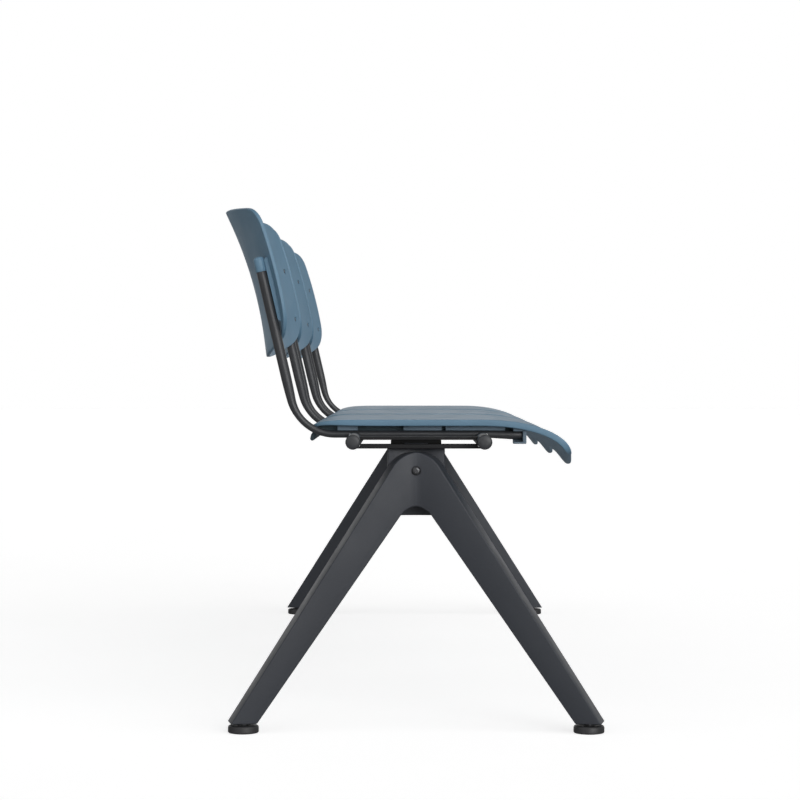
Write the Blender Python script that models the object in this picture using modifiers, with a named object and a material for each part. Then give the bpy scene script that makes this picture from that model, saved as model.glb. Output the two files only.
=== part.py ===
"""Beam seating: moulded seats and backs on bent rods, two round beams and a folded A-leg at each end.

Metres, +Z up. The row runs along X and faces -Y. The origin lies on the floor, under the middle of the row
and the middle of its depth. Outlines are drawn as (forward, height), measured from the legs' middle line.
"""
import math

import bmesh
import bpy
from mathutils import Matrix, Vector

# Row
SEAT_COUNT = 3
SEAT_SPACE = 0.060
ROD_SPACING = 0.420
FIT_GAP = 0.0003

# Beams
BEAM_RADIUS = 0.011
BEAM_BORE = 0.0092
BEAM_HEIGHT = 0.4223
BEAM_SPACING = 0.1930
BEAM_AHEAD = 0.0040
BEAM_OVERHANG = 0.028
CAP_DOME = 0.004
CAP_PLUG = 0.012
CAP_SHARES = ((0.0, 1.0), (0.55, 0.94), (0.88, 0.70), (1.0, 0.35))

# Legs
LEG_INSET = 0.115
LEG_FOLD = math.radians(11.3)
LEG_FOLD_HALF = 0.014
LEG_THICKNESS = 0.040
LEG_CLEARANCE = 0.0050
LEG_OUTER_FOOT = 0.2717
LEG_FOOT_WIDTH = 0.0376
LEG_HEAD_RADIUS = 0.0455
LEG_ARCH_DROP = 0.088
LEG_ARCH_HALF = 0.0229
LEG_ARCH_RISE = 0.009

# Leg fixing
BRACKET_WIDTH = 0.0757
BRACKET_THICKNESS = 0.008
BRACKET_BELOW_ARCH = 0.0062
BAR_DEPTH = 0.034
LOWER_BAR_THICKNESS = 0.0063
UPPER_BAR_THICKNESS = 0.0045
BAR_DROP = 0.0103
SPACER_WIDTH = 0.0745
SPACER_THICKNESS = 0.0059
BOLT_DROP = 0.027
BOLT_RADIUS = 0.0040
BOLT_HEAD_RADIUS = 0.0058
BOLT_HEAD_HEIGHT = 0.004
BOLT_HEAD_EDGE = 0.0008
BOLT_SOCKET_RADIUS = 0.0024
BOLT_SOCKET_DEPTH = 0.0022
BOLT_RECESS_RADIUS = 0.0072
BOLT_RECESS_DEPTH = 0.0025
NUT_RADIUS = 0.0075
NUT_HEIGHT = 0.0065

# Foot glides
GLIDE_INSET = 0.0205
GLIDE_RADIUS = 0.0225
GLIDE_HEIGHT = 0.0115
GLIDE_EDGE = 0.002
STUD_RADIUS = 0.005
STUD_BITE = 0.0212
STUD_SEAT = 0.005
COLLAR_RADIUS = 0.0085
COLLAR_HEIGHT = 0.0027

# Side rods
ROD_RADIUS = 0.0078
ROD_NECK_RADIUS = 0.0055
ROD_ABOVE_BEAM = 0.0082
ROD_FRONT = 0.161
ROD_BEND_START = -0.1230
ROD_BEND_RADIUS = 0.068
ROD_LEAN = math.radians(13.1)
ROD_RISE = 0.2465
ROD_TAPER_START = math.radians(54)
ROD_TAPER_RUN = 0.025

# Seats
SEAT_SIDE = 0.020
SEAT_ABOVE_ROD = 0.0225
SEAT_EDGE = 0.010
SEAT_FRONT_CORNER = 0.022
SEAT_REAR_CORNER = 0.060
SEAT_FRONT = 0.236
SEAT_FRONT_FLAT = 0.105
SEAT_FRONT_PULL = 0.070
SEAT_LIP_DROP = 0.055
SEAT_LIP_PULL = 0.030
SEAT_BOW = 0.0110
SEAT_DIP = 0.0235
SEAT_COLUMNS = 12
SEAT_REAR = -0.158
SEAT_REAR_FLAT = -0.105
SEAT_REAR_PULL = 0.030
SEAT_REAR_DROP = 0.025
SEAT_REAR_LIP_PULL = 0.016
SEAT_TRIM = 0.003
CORE_SIDE = 0.010
CORE_THICKNESS = 0.009
CORE_OVERLAP = 0.002
CORE_FRONT = 0.185
RIB_TIP_RADIUS = 0.0026
RIB_RUN = 0.0085
RIB_TIP_START = math.radians(205)
REAR_RIB_SETBACK = 0.004
REAR_RIB_DEPTH = 0.005
REAR_RIB_INSET = 0.025
PAD_WIDTH = 0.012
PAD_SADDLE = 0.0015
PAD_SPANS = ((-0.119, -0.088), (-0.019, 0.039), (0.045, 0.135))
SOCKET_WIDTH = 0.024
SOCKET_LENGTH = 0.020
SOCKET_WALL = 0.006
SOCKET_DROP = 0.0145
SOCKET_FLOOR = 0.0025

# Backrests
BACK_SIDE = 0.019
BACK_STANDOFF = 0.0126
BACK_THICKNESS = 0.006
BACK_SIDE_RADIUS = 0.563
BACK_SWEEP_RUN = 1.15
BACK_SWEEP_CURVE = 0.416
BACK_ARC_RADIUS = 0.630
BACK_MIDDLE_DROP = 0.021
BACK_MIDDLE_LEAN = math.radians(14.9)
BACK_ABOVE_ROD = 0.101
BACK_TOP_DROP = 0.0075
BACK_BELOW_ROD = 0.1288
BACK_BOTTOM_RISE = 0.034
BACK_TOP_CORNER = 0.025
BACK_BOTTOM_CORNER = 0.035
BACK_RIB_WIDTH = 0.010
BACK_RIB_BELOW_ROD = 0.077
BACK_RIB_ABOVE_ROD = 0.019
BACK_SOCKET_LENGTH = 0.022

# Screws
SCREW_RADIUS = 0.0020
SCREW_HEAD_RADIUS = 0.0040
SCREW_HEAD_HEIGHT = 0.0018
SCREW_HEAD_FLAT = 0.0028
SCREW_BITE = 0.006
SCREW_CLEARANCE = 0.0003
SCREW_SINK = 0.0020
SCREW_RECESS_MARGIN = 0.0004
BACK_SCREW_OFFSETS = {"upper": 0.013, "lower": -0.0675}
SEAT_SCREW_FORWARD = 0.010
SEAT_SCREW_BITE = 0.006

# Facets
BEAM_SIDES = 24
PIN_SIDES = 12
SCREW_SIDES = 8
NUT_SIDES = 6
GLIDE_SIDES = 24
ROD_RESOLUTION = 4
FOLD_STEPS = 2
CURVE_STEPS = 8
BACK_COLUMNS = 16
BACK_ROWS = 6
SMOOTH_ANGLE = math.radians(40)
WELD = 1e-5

ROW_NAME = "beam_seating"
SIDES = {"left": -1, "right": 1}
ENDS = {"front": 1, "rear": -1}

# Places along the row
SEAT_WIDTH = ROD_SPACING + 2 * SEAT_SIDE
BACK_WIDTH = ROD_SPACING + 2 * BACK_SIDE
CORE_WIDTH = ROD_SPACING - 2 * CORE_SIDE
SEAT_PITCH = SEAT_WIDTH + SEAT_SPACE
ROW_HALF = (SEAT_COUNT - 1) / 2 * SEAT_PITCH + ROD_SPACING / 2
LEG_X = ROW_HALF + LEG_INSET
BEAM_HALF = LEG_X + BEAM_OVERHANG
LEG_FOLD_RADIUS = LEG_FOLD_HALF / LEG_FOLD

# Heights, worked out from the beams and from the floor
LOWER_BAR_BOTTOM = BEAM_HEIGHT - BAR_DROP
UPPER_BAR_BOTTOM = LOWER_BAR_BOTTOM + LOWER_BAR_THICKNESS + SPACER_THICKNESS + 2 * FIT_GAP
LEG_TOP = LOWER_BAR_BOTTOM - LEG_CLEARANCE
LEG_ARCH_HEIGHT = LEG_TOP - LEG_ARCH_DROP
BOLT_HEIGHT = LEG_TOP - BOLT_DROP
BRACKET_BOTTOM = LEG_ARCH_HEIGHT - BRACKET_BELOW_ARCH
LEG_FOOT_HEIGHT = GLIDE_HEIGHT + COLLAR_HEIGHT + 2 * FIT_GAP
STUD_TOP = LEG_FOOT_HEIGHT + STUD_BITE
ROD_HEIGHT = BEAM_HEIGHT + ROD_ABOVE_BEAM
ROD_TOP = ROD_HEIGHT + ROD_RISE
SEAT_TOP = ROD_HEIGHT + SEAT_ABOVE_ROD
SEAT_LIP_HEIGHT = SEAT_TOP - SEAT_LIP_DROP
SEAT_REAR_HEIGHT = SEAT_TOP - SEAT_REAR_DROP
SOCKET_BOTTOM = ROD_HEIGHT - SOCKET_DROP
BACK_TOP = ROD_TOP + BACK_ABOVE_ROD
BACK_BOTTOM = ROD_TOP - BACK_BELOW_ROD
BACK_MIDDLE_HEIGHT = ROD_TOP - BACK_MIDDLE_DROP
BACK_RIB_BOTTOM = ROD_TOP - BACK_RIB_BELOW_ROD
BACK_RIB_TOP = ROD_TOP + BACK_RIB_ABOVE_ROD
BACK_SOCKET_TOP = ROD_TOP + BACK_SOCKET_LENGTH


def rod_bend_point(turn):
    """A point of the rod's bend, as (forward, height), after turning up by an angle."""
    forward = ROD_BEND_START - ROD_BEND_RADIUS * math.sin(turn)
    return forward, ROD_HEIGHT + ROD_BEND_RADIUS * (1 - math.cos(turn))


def rod_upright(height):
    """Forward place of the rod's middle line on its upright."""
    forward, start = rod_bend_point(math.pi / 2 - ROD_LEAN)
    return forward - (height - start) * math.tan(ROD_LEAN)


def back_sweep(x, height):
    """How far the back curves forward away from its middle line, more so towards the top."""
    rise = height - BACK_MIDDLE_HEIGHT
    growth = 1 + rise / BACK_SWEEP_RUN + (rise / BACK_SWEEP_CURVE) ** 2
    return growth * (BACK_SIDE_RADIUS - math.sqrt(BACK_SIDE_RADIUS ** 2 - x ** 2))


def back_profile(height):
    """Forward place of a backrest's rear face on its middle line, which stands off the rods at its sides."""
    side = back_sweep(ROD_SPACING / 2, BACK_MIDDLE_HEIGHT)
    middle = rod_upright(BACK_MIDDLE_HEIGHT) + BACK_STANDOFF - side
    sine = math.sin(BACK_MIDDLE_LEAN) + (height - BACK_MIDDLE_HEIGHT) / BACK_ARC_RADIUS
    return middle + BACK_ARC_RADIUS * (math.sqrt(1 - sine * sine) - math.cos(BACK_MIDDLE_LEAN))


FRONT_REACH = LEG_OUTER_FOOT + math.sin(LEG_FOLD) * LEG_THICKNESS / 2
REAR_REACH = -back_profile(BACK_TOP)
LEG_MIDDLE_Y = (FRONT_REACH - REAR_REACH) / 2


def at(x, forward, height):
    """A point from its place along the row, its reach forward of the legs' middle line and its height."""
    return Vector((x, -forward, height))


def clear_scene():
    for old in list(bpy.data.objects):
        bpy.data.objects.remove(old, do_unlink=True)


def new_collection(name):
    collection = bpy.data.collections.new(name)
    bpy.context.scene.collection.children.link(collection)
    return collection


def new_finish(name, colour, roughness, metallic=0.0):
    material = bpy.data.materials.new(name)
    material.use_nodes = True
    shader = material.node_tree.nodes["Principled BSDF"]
    shader.inputs["Base Color"].default_value = (*colour, 1.0)
    shader.inputs["Roughness"].default_value = roughness
    shader.inputs["Metallic"].default_value = metallic
    return material


clear_scene()
PARTS = new_collection(ROW_NAME)
CUTTERS = new_collection("cutters")
BLUE_PLASTIC = new_finish("blue_plastic", (0.117, 0.216, 0.305), 0.45)
LEG_PAINT = new_finish("leg_paint", (0.068, 0.074, 0.081), 0.42, 0.2)
FRAME_PAINT = new_finish("frame_paint", (0.045, 0.045, 0.047), 0.40, 0.3)
GLIDE_PLASTIC = new_finish("glide_plastic", (0.025, 0.025, 0.027), 0.55)
DARK_STEEL = new_finish("dark_steel", (0.060, 0.060, 0.062), 0.35, 0.8)

ROW = bpy.data.objects.new("row", None)
ROW.location = (0.0, LEG_MIDDLE_Y, 0.0)
PARTS.objects.link(ROW)


def add_object(name, data, finish=None, location=(0.0, 0.0, 0.0), rotation=(0.0, 0.0, 0.0), parent=None):
    """Link a mesh or curve as a named part, or as a hidden cutter when it has no finish."""
    part = bpy.data.objects.new(name, data)
    part.parent = parent or ROW
    part.location = location
    part.rotation_euler = rotation
    if finish is None:
        CUTTERS.objects.link(part)
        part.hide_render = True
        part.display_type = "WIRE"
        return part
    PARTS.objects.link(part)
    data.materials.append(finish)
    return part


def mesh_from(shape, name):
    mesh = bpy.data.meshes.new(name)
    shape.to_mesh(mesh)
    shape.free()
    return mesh


def block_mesh(name, low, high):
    """A box between two corners."""
    shape = bmesh.new()
    bmesh.ops.create_cube(shape, size=1.0)
    size = high - low
    bmesh.ops.scale(shape, vec=Vector([abs(part) for part in size]), verts=shape.verts)
    bmesh.ops.translate(shape, vec=(low + high) / 2, verts=shape.verts)
    return mesh_from(shape, name)


def cylinder_mesh(name, start, end, radius, sides, twist=0.0):
    """A closed cylinder between two points, its facets twisted about its axis by an angle."""
    run = end - start
    turn = run.to_track_quat("Z", "Y").to_matrix().to_4x4() @ Matrix.Rotation(twist, 4, "Z")
    shape = bmesh.new()
    bmesh.ops.create_cone(shape, cap_ends=True, segments=sides, radius1=radius, radius2=radius,
                          depth=run.length, matrix=Matrix.Translation((start + end) / 2) @ turn)
    return mesh_from(shape, name)


def shade_round(mesh):
    mesh.shade_smooth()
    mesh.set_sharp_from_angle(angle=SMOOTH_ANGLE)


def curve_to_mesh(curve_object, name):
    """Turn a curve object's evaluated shape into a welded mesh and remove the curve."""
    bpy.context.view_layer.update()
    depsgraph = bpy.context.evaluated_depsgraph_get()
    mesh = bpy.data.meshes.new_from_object(curve_object.evaluated_get(depsgraph))
    mesh.name = name
    shape = bmesh.new()
    shape.from_mesh(mesh)
    shape.transform(curve_object.matrix_world)
    bmesh.ops.remove_doubles(shape, verts=shape.verts, dist=WELD)
    bmesh.ops.recalc_face_normals(shape, faces=shape.faces)
    shape.to_mesh(mesh)
    shape.free()
    mesh.materials.clear()
    bpy.data.objects.remove(curve_object, do_unlink=True)
    return mesh


def poly_curve(name, points, dimensions, cyclic):
    curve = bpy.data.curves.new(name, "CURVE")
    curve.dimensions = dimensions
    spline = curve.splines.new("POLY")
    spline.points.add(len(points) - 1)
    for knot, point in zip(spline.points, points):
        knot.co = (*point, 1.0)
    spline.use_cyclic_u = cyclic
    return curve


def slab_mesh(name, outline, width):
    """An outline of (forward, height) points, extruded along the row about x = 0."""
    curve = poly_curve(name, [(forward, height, 0.0) for forward, height in outline], "2D", True)
    curve.fill_mode = "BOTH"
    curve.extrude = width / 2
    holder = bpy.data.objects.new(name, curve)
    CUTTERS.objects.link(holder)
    holder.matrix_world = Matrix(((0, 0, 1, 0), (-1, 0, 0, 0), (0, 1, 0, 0), (0, 0, 0, 1)))
    return curve_to_mesh(holder, name)


def turned_part(name, profile, sides, finish, **place):
    """A profile of (radius, height) points, top to bottom, turned about Z."""
    mesh = bpy.data.meshes.new(name)
    edges = [(index, index + 1) for index in range(len(profile) - 1)]
    mesh.from_pydata([(radius, 0.0, height) for radius, height in profile], edges, [])
    part = add_object(name, mesh, finish, **place)
    screw = part.modifiers.new("turn", "SCREW")
    screw.steps = sides
    screw.render_steps = sides
    screw.use_merge_vertices = True
    screw.merge_threshold = WELD
    return part


def boolean(part, other, operation):
    step = part.modifiers.new(other.name, "BOOLEAN")
    step.operation = operation
    step.object = other


def cut(part, other):
    boolean(part, other, "DIFFERENCE")


def join(part, other):
    boolean(part, other, "UNION")


def bezier(start, start_pull, end_pull, end):
    """Points along one cubic curve, in (forward, height)."""
    points = []
    for index in range(CURVE_STEPS + 1):
        t = index / CURVE_STEPS
        weights = ((1 - t) ** 3, 3 * t * (1 - t) ** 2, 3 * t * t * (1 - t), t ** 3)
        knots = (start, start_pull, end_pull, end)
        points.append(tuple(sum(w * k[axis] for w, k in zip(weights, knots)) for axis in (0, 1)))
    return points


def offset_line(points, distance):
    """Move an open line to its right by a distance, square to its run."""
    moved = []
    for index, point in enumerate(points):
        before = points[max(index - 1, 0)]
        after = points[min(index + 1, len(points) - 1)]
        run = Vector(after) - Vector(before)
        run.normalize()
        moved.append((point[0] + run[1] * distance, point[1] - run[0] * distance))
    return moved


# Beams and their caps

def beam_forward(end):
    return BEAM_AHEAD + ENDS[end] * BEAM_SPACING / 2


def beam_cutter(end):
    forward = beam_forward(end)
    mesh = cylinder_mesh("beam_room_" + end, at(-BEAM_HALF, forward, BEAM_HEIGHT),
                         at(BEAM_HALF, forward, BEAM_HEIGHT), BEAM_RADIUS + FIT_GAP, BEAM_SIDES)
    return add_object(mesh.name, mesh)


def build_beam(end):
    forward = beam_forward(end)
    left = at(-BEAM_HALF, forward, BEAM_HEIGHT)
    right = at(BEAM_HALF, forward, BEAM_HEIGHT)
    past = Vector((CAP_PLUG, 0.0, 0.0))
    mesh = cylinder_mesh("beam_" + end, left, right, BEAM_RADIUS, BEAM_SIDES)
    shade_round(mesh)
    beam = add_object(mesh.name, mesh, FRAME_PAINT)
    bore = cylinder_mesh("beam_bore_" + end, left - past, right + past, BEAM_BORE, BEAM_SIDES)
    cut(beam, add_object(bore.name, bore))
    for side, sign in SIDES.items():
        build_beam_cap(f"beam_cap_{end}_{side}", at(sign * BEAM_HALF, forward, BEAM_HEIGHT), sign)


def build_beam_cap(name, place, sign):
    """A low dome over the tube's end, on a plug inside it."""
    plug = BEAM_BORE - FIT_GAP
    dome = [(BEAM_RADIUS * across, FIT_GAP + CAP_DOME * up) for across, up in CAP_SHARES]
    stem = [(BEAM_RADIUS, FIT_GAP), (plug, FIT_GAP), (plug, -CAP_PLUG), (0.0, -CAP_PLUG)]
    turned_part(name, dome + stem, BEAM_SIDES, FRAME_PAINT, location=place,
                rotation=(0.0, sign * math.pi / 2, 0.0))


# Legs: a flat A, folded about its middle line so that the feet stand outward

def arc_points(centre, radius, start, end, steps):
    points = []
    for index in range(steps + 1):
        angle = start + (end - start) * index / steps
        points.append((centre[0] + radius * math.cos(angle), centre[1] + radius * math.sin(angle)))
    return points


def leg_outline():
    """The unfolded A: its outer lines run into a round head, its inner lines into a low arch."""
    stretch = 1 / math.cos(LEG_FOLD)
    outer_foot = LEG_OUTER_FOOT * stretch
    inner_foot = (LEG_OUTER_FOOT - LEG_FOOT_WIDTH) * stretch
    arch_half = LEG_ARCH_HALF * stretch
    centre = (0.0, LEG_TOP - LEG_HEAD_RADIUS)
    drop = centre[1] - LEG_FOOT_HEIGHT
    tilt = math.acos(LEG_HEAD_RADIUS / math.hypot(outer_foot, drop)) - math.atan2(drop, outer_foot)
    head = arc_points(centre, LEG_HEAD_RADIUS, tilt, math.pi - tilt, CURVE_STEPS)
    arch_radius = (arch_half ** 2 + LEG_ARCH_RISE ** 2) / (2 * LEG_ARCH_RISE)
    arch_turn = math.asin(arch_half / arch_radius)
    arch_centre = (0.0, LEG_ARCH_HEIGHT + LEG_ARCH_RISE - arch_radius)
    arch = arc_points(arch_centre, arch_radius, math.pi / 2 + arch_turn, math.pi / 2 - arch_turn, CURVE_STEPS)
    right_foot = [(inner_foot, LEG_FOOT_HEIGHT), (outer_foot, LEG_FOOT_HEIGHT)]
    left_foot = [(-outer_foot, LEG_FOOT_HEIGHT), (-inner_foot, LEG_FOOT_HEIGHT)]
    return right_foot + head + left_foot + arch


def fold_point(point, sign):
    """Bend a point of the flat leg about the middle line; its x is the depth towards the row's end."""
    across = -point.y
    turn = max(-LEG_FOLD, min(LEG_FOLD, across / LEG_FOLD_RADIUS))
    straight = across - turn * LEG_FOLD_RADIUS
    out = LEG_FOLD_RADIUS * (1 - math.cos(turn)) + straight * math.sin(turn) + point.x * math.cos(turn)
    forward = LEG_FOLD_RADIUS * math.sin(turn) + straight * math.cos(turn) - point.x * math.sin(turn)
    return at(sign * (LEG_X + out), forward, point.z)


def folded_part(name, flat_mesh, sign, finish):
    """Split a flat slab along the fold's round strip, then bend it."""
    shape = bmesh.new()
    shape.from_mesh(flat_mesh)
    for step in range(-FOLD_STEPS, FOLD_STEPS + 1):
        everything = shape.verts[:] + shape.edges[:] + shape.faces[:]
        bmesh.ops.bisect_plane(shape, geom=everything, dist=WELD, plane_no=(0.0, 1.0, 0.0),
                               plane_co=(0.0, step * LEG_FOLD_HALF / FOLD_STEPS, 0.0))
    bmesh.ops.triangulate(shape, faces=shape.faces)
    for vert in shape.verts:
        vert.co = fold_point(vert.co, sign)
    bmesh.ops.recalc_face_normals(shape, faces=shape.faces)
    return add_object(name, mesh_from(shape, name), finish)


def build_leg(side):
    sign = SIDES[side]
    leg = folded_part("leg_" + side, slab_mesh("leg_flat", leg_outline(), LEG_THICKNESS), sign, LEG_PAINT)
    bracket_top = LOWER_BAR_BOTTOM - FIT_GAP
    half = BRACKET_WIDTH / 2
    plate = block_mesh("bracket_flat", Vector((-BRACKET_THICKNESS / 2, -half, BRACKET_BOTTOM)),
                       Vector((BRACKET_THICKNESS / 2, half, bracket_top)))
    plate.transform(Matrix.Translation((-(LEG_THICKNESS + BRACKET_THICKNESS) / 2 - FIT_GAP, 0.0, 0.0)))
    bracket = folded_part("leg_bracket_" + side, plate, sign, FRAME_PAINT)
    build_leg_bolt(side, leg, bracket)
    for end in ENDS:
        build_glide(side, end, leg)


def build_leg_bolt(side, leg, bracket):
    sign = SIDES[side]
    face = LEG_X + LEG_THICKNESS / 2
    recess_floor = face - BOLT_RECESS_DEPTH
    nut_face = face - LEG_THICKNESS - BRACKET_THICKNESS - 2 * FIT_GAP
    shank = recess_floor - nut_face + NUT_HEIGHT + BOLT_RADIUS
    hole_end = nut_face - 2 * NUT_HEIGHT
    # Half a facet's twist keeps the hole's corners off the fold's middle line.
    hole = cylinder_mesh("bolt_hole_" + side, at(sign * hole_end, 0.0, BOLT_HEIGHT),
                         at(sign * (face + BOLT_HEAD_HEIGHT), 0.0, BOLT_HEIGHT),
                         BOLT_RADIUS + FIT_GAP, PIN_SIDES, math.pi / PIN_SIDES)
    hole = add_object(hole.name, hole)
    recess = cylinder_mesh("bolt_recess_" + side, at(sign * recess_floor, 0.0, BOLT_HEIGHT),
                           at(sign * (face + BOLT_HEAD_HEIGHT), 0.0, BOLT_HEIGHT),
                           BOLT_RECESS_RADIUS, BEAM_SIDES, math.pi / BEAM_SIDES)
    cut(leg, hole)
    cut(leg, add_object(recess.name, recess))
    cut(bracket, hole)
    top = FIT_GAP + BOLT_HEAD_HEIGHT
    profile = [(0.0, top - BOLT_SOCKET_DEPTH), (BOLT_SOCKET_RADIUS, top - BOLT_SOCKET_DEPTH),
               (BOLT_SOCKET_RADIUS, top), (BOLT_HEAD_RADIUS - BOLT_HEAD_EDGE, top),
               (BOLT_HEAD_RADIUS, top - BOLT_HEAD_EDGE), (BOLT_HEAD_RADIUS, FIT_GAP), (BOLT_RADIUS, FIT_GAP),
               (BOLT_RADIUS, -shank), (0.0, -shank)]
    turned_part("leg_bolt_" + side, profile, PIN_SIDES, DARK_STEEL,
                location=at(sign * recess_floor, 0.0, BOLT_HEIGHT), rotation=(0.0, sign * math.pi / 2, 0.0))
    seat = nut_face - FIT_GAP
    mesh = cylinder_mesh("leg_nut_" + side, at(sign * seat, 0.0, BOLT_HEIGHT),
                         at(sign * (seat - NUT_HEIGHT), 0.0, BOLT_HEIGHT), NUT_RADIUS, NUT_SIDES)
    cut(add_object(mesh.name, mesh, DARK_STEEL), hole)


# Foot glides: a pad on a threaded stud that screws up into the leg

def glide_place(side, end):
    """Floor point under a glide, below the middle of the folded leg."""
    forward = (LEG_OUTER_FOOT - GLIDE_INSET) / math.cos(LEG_FOLD)
    flat = Vector((0.0, -ENDS[end] * forward, 0.0))
    return fold_point(flat, SIDES[side])


def build_glide(side, end, leg):
    name = f"{end}_{side}"
    place = glide_place(side, end)
    axis = bpy.data.objects.new("glide_axis_" + name, None)
    axis.parent = ROW
    axis.location = place
    PARTS.objects.link(axis)
    bore = STUD_RADIUS + FIT_GAP
    pad = [(bore, GLIDE_HEIGHT), (GLIDE_RADIUS - GLIDE_EDGE, GLIDE_HEIGHT),
           (GLIDE_RADIUS, GLIDE_HEIGHT - GLIDE_EDGE), (GLIDE_RADIUS, GLIDE_EDGE),
           (GLIDE_RADIUS - GLIDE_EDGE, 0.0), (0.0, 0.0), (0.0, STUD_SEAT), (bore, STUD_SEAT),
           (bore, GLIDE_HEIGHT)]
    turned_part("glide_pad_" + name, pad, GLIDE_SIDES, GLIDE_PLASTIC, parent=axis)
    collar_top = LEG_FOOT_HEIGHT - FIT_GAP
    collar_bottom = GLIDE_HEIGHT + FIT_GAP
    stud = [(0.0, STUD_TOP), (STUD_RADIUS, STUD_TOP), (STUD_RADIUS, collar_top), (COLLAR_RADIUS, collar_top),
            (COLLAR_RADIUS, collar_bottom), (STUD_RADIUS, collar_bottom),
            (STUD_RADIUS, STUD_SEAT + FIT_GAP), (0.0, STUD_SEAT + FIT_GAP)]
    turned_part("glide_stud_" + name, stud, PIN_SIDES, DARK_STEEL, parent=axis)
    room = cylinder_mesh("stud_room_" + name, place, place + Vector((0.0, 0.0, STUD_TOP + FIT_GAP)),
                         bore, PIN_SIDES)
    cut(leg, add_object(room.name, room))


# Flat bars and spacers that tie the beams together over each leg

def build_bars(side, beam_rooms):
    middle = SIDES[side] * (LEG_X - LEG_THICKNESS / 2)
    near = middle - BAR_DEPTH / 2
    far = middle + BAR_DEPTH / 2
    for name, bottom, thickness in (("lower", LOWER_BAR_BOTTOM, LOWER_BAR_THICKNESS),
                                    ("upper", UPPER_BAR_BOTTOM, UPPER_BAR_THICKNESS)):
        mesh = block_mesh(f"{name}_bar_{side}", at(near, beam_forward("rear"), bottom),
                          at(far, beam_forward("front"), bottom + thickness))
        bar = add_object(mesh.name, mesh, FRAME_PAINT)
        for room in beam_rooms:
            cut(bar, room)
    bottom = LOWER_BAR_BOTTOM + LOWER_BAR_THICKNESS + FIT_GAP
    mesh = block_mesh("bar_spacer_" + side, at(near, -SPACER_WIDTH / 2, bottom),
                      at(far, SPACER_WIDTH / 2, bottom + SPACER_THICKNESS))
    add_object(mesh.name, mesh, FRAME_PAINT)


# Side rods: along under the seat, round the bend and up behind the back

def rod_stations(spare):
    """Stations of (forward, height, radius) from the front end to the top."""
    stations = [(ROD_FRONT + spare, ROD_HEIGHT, ROD_NECK_RADIUS),
                (ROD_BEND_START, ROD_HEIGHT, ROD_NECK_RADIUS)]
    full_turn = math.pi / 2 - ROD_LEAN
    end_radius = (ROD_NECK_RADIUS + ROD_RADIUS) / 2
    for index in range(1, CURVE_STEPS + 1):
        turn = full_turn * index / CURVE_STEPS
        share = max(0.0, (turn - ROD_TAPER_START) / (full_turn - ROD_TAPER_START))
        stations.append((*rod_bend_point(turn), ROD_NECK_RADIUS + share * (end_radius - ROD_NECK_RADIUS)))
    full = stations[-1][1] + ROD_TAPER_RUN
    stations.append((rod_upright(full), full, ROD_RADIUS))
    stations.append((rod_upright(ROD_TOP), ROD_TOP, ROD_RADIUS))
    return stations


def rod_mesh(name, spare):
    stations = rod_stations(spare)
    curve = poly_curve(name, [(0.0, -forward, height) for forward, height, radius in stations], "3D", False)
    curve.bevel_depth = 1.0
    curve.bevel_resolution = ROD_RESOLUTION
    curve.use_fill_caps = True
    for knot, station in zip(curve.splines[0].points, stations):
        knot.radius = station[2] + spare
    holder = bpy.data.objects.new(name, curve)
    CUTTERS.objects.link(holder)
    return curve_to_mesh(holder, name)


def build_rod(seat, side, beam_rooms):
    name = f"rod_{seat}_{side}"
    mesh = rod_mesh(name, 0.0)
    shade_round(mesh)
    rod = add_object(name, mesh, FRAME_PAINT, location=(rod_x(seat, side), 0.0, 0.0))
    for room in beam_rooms:
        cut(rod, room)
    return rod


def seat_x(seat):
    return (seat - (SEAT_COUNT + 1) / 2) * SEAT_PITCH


def rod_x(seat, side):
    return seat_x(seat) + SIDES[side] * ROD_SPACING / 2


# Seats: a shell with a bowed front roll over a core, with pads on the rods and sockets on their front ends

def seat_top_line():
    """The shell's upper line from the rear edge to the front lip."""
    rear = bezier((SEAT_REAR, SEAT_REAR_HEIGHT), (SEAT_REAR, SEAT_REAR_HEIGHT + SEAT_REAR_LIP_PULL),
                  (SEAT_REAR_FLAT - SEAT_REAR_PULL, SEAT_TOP), (SEAT_REAR_FLAT, SEAT_TOP))
    front = bezier((SEAT_FRONT_FLAT, SEAT_TOP), (SEAT_FRONT_FLAT + SEAT_FRONT_PULL, SEAT_TOP),
                   (SEAT_FRONT, SEAT_LIP_HEIGHT + SEAT_LIP_PULL), (SEAT_FRONT, SEAT_LIP_HEIGHT))
    return rear + front


def band_mesh(name, line, start, thickness, width):
    """A layer under a line, from one depth below it to another."""
    upper = offset_line(line, start)
    lower = offset_line(line, start + thickness)
    return slab_mesh(name, upper + lower[::-1], width)


def bow_at(x):
    """Share of the front's bow at one place across the seat, from none at its sides to all in its middle."""
    across = min(1.0, abs(x) * 2 / SEAT_WIDTH)
    return (1 - across ** 2) ** 2


def front_faces(shape):
    return [face for face in shape.faces if -face.calc_center_median().y > SEAT_FRONT_FLAT]


def bow_front(mesh):
    """Draw the front of a layer forward and down, the more so towards its middle."""
    shape = bmesh.new()
    shape.from_mesh(mesh)
    for column in range(1, SEAT_COLUMNS):
        x = SEAT_WIDTH * (column / SEAT_COLUMNS - 0.5)
        faces = front_faces(shape)
        edges = {edge for face in faces for edge in face.edges}
        verts = {vert for face in faces for vert in face.verts}
        bmesh.ops.bisect_plane(shape, geom=faces + list(edges) + list(verts),
                               plane_co=(x, 0.0, 0.0), plane_no=(1.0, 0.0, 0.0))
    for vert in shape.verts:
        share = max(0.0, (-vert.co.y - SEAT_FRONT_FLAT) / (SEAT_FRONT - SEAT_FRONT_FLAT))
        bow = share * bow_at(vert.co.x)
        vert.co += at(0.0, SEAT_BOW * bow, -SEAT_DIP * bow)
    bmesh.ops.triangulate(shape, faces=front_faces(shape))
    shape.to_mesh(mesh)
    shape.free()
    return mesh


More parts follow.
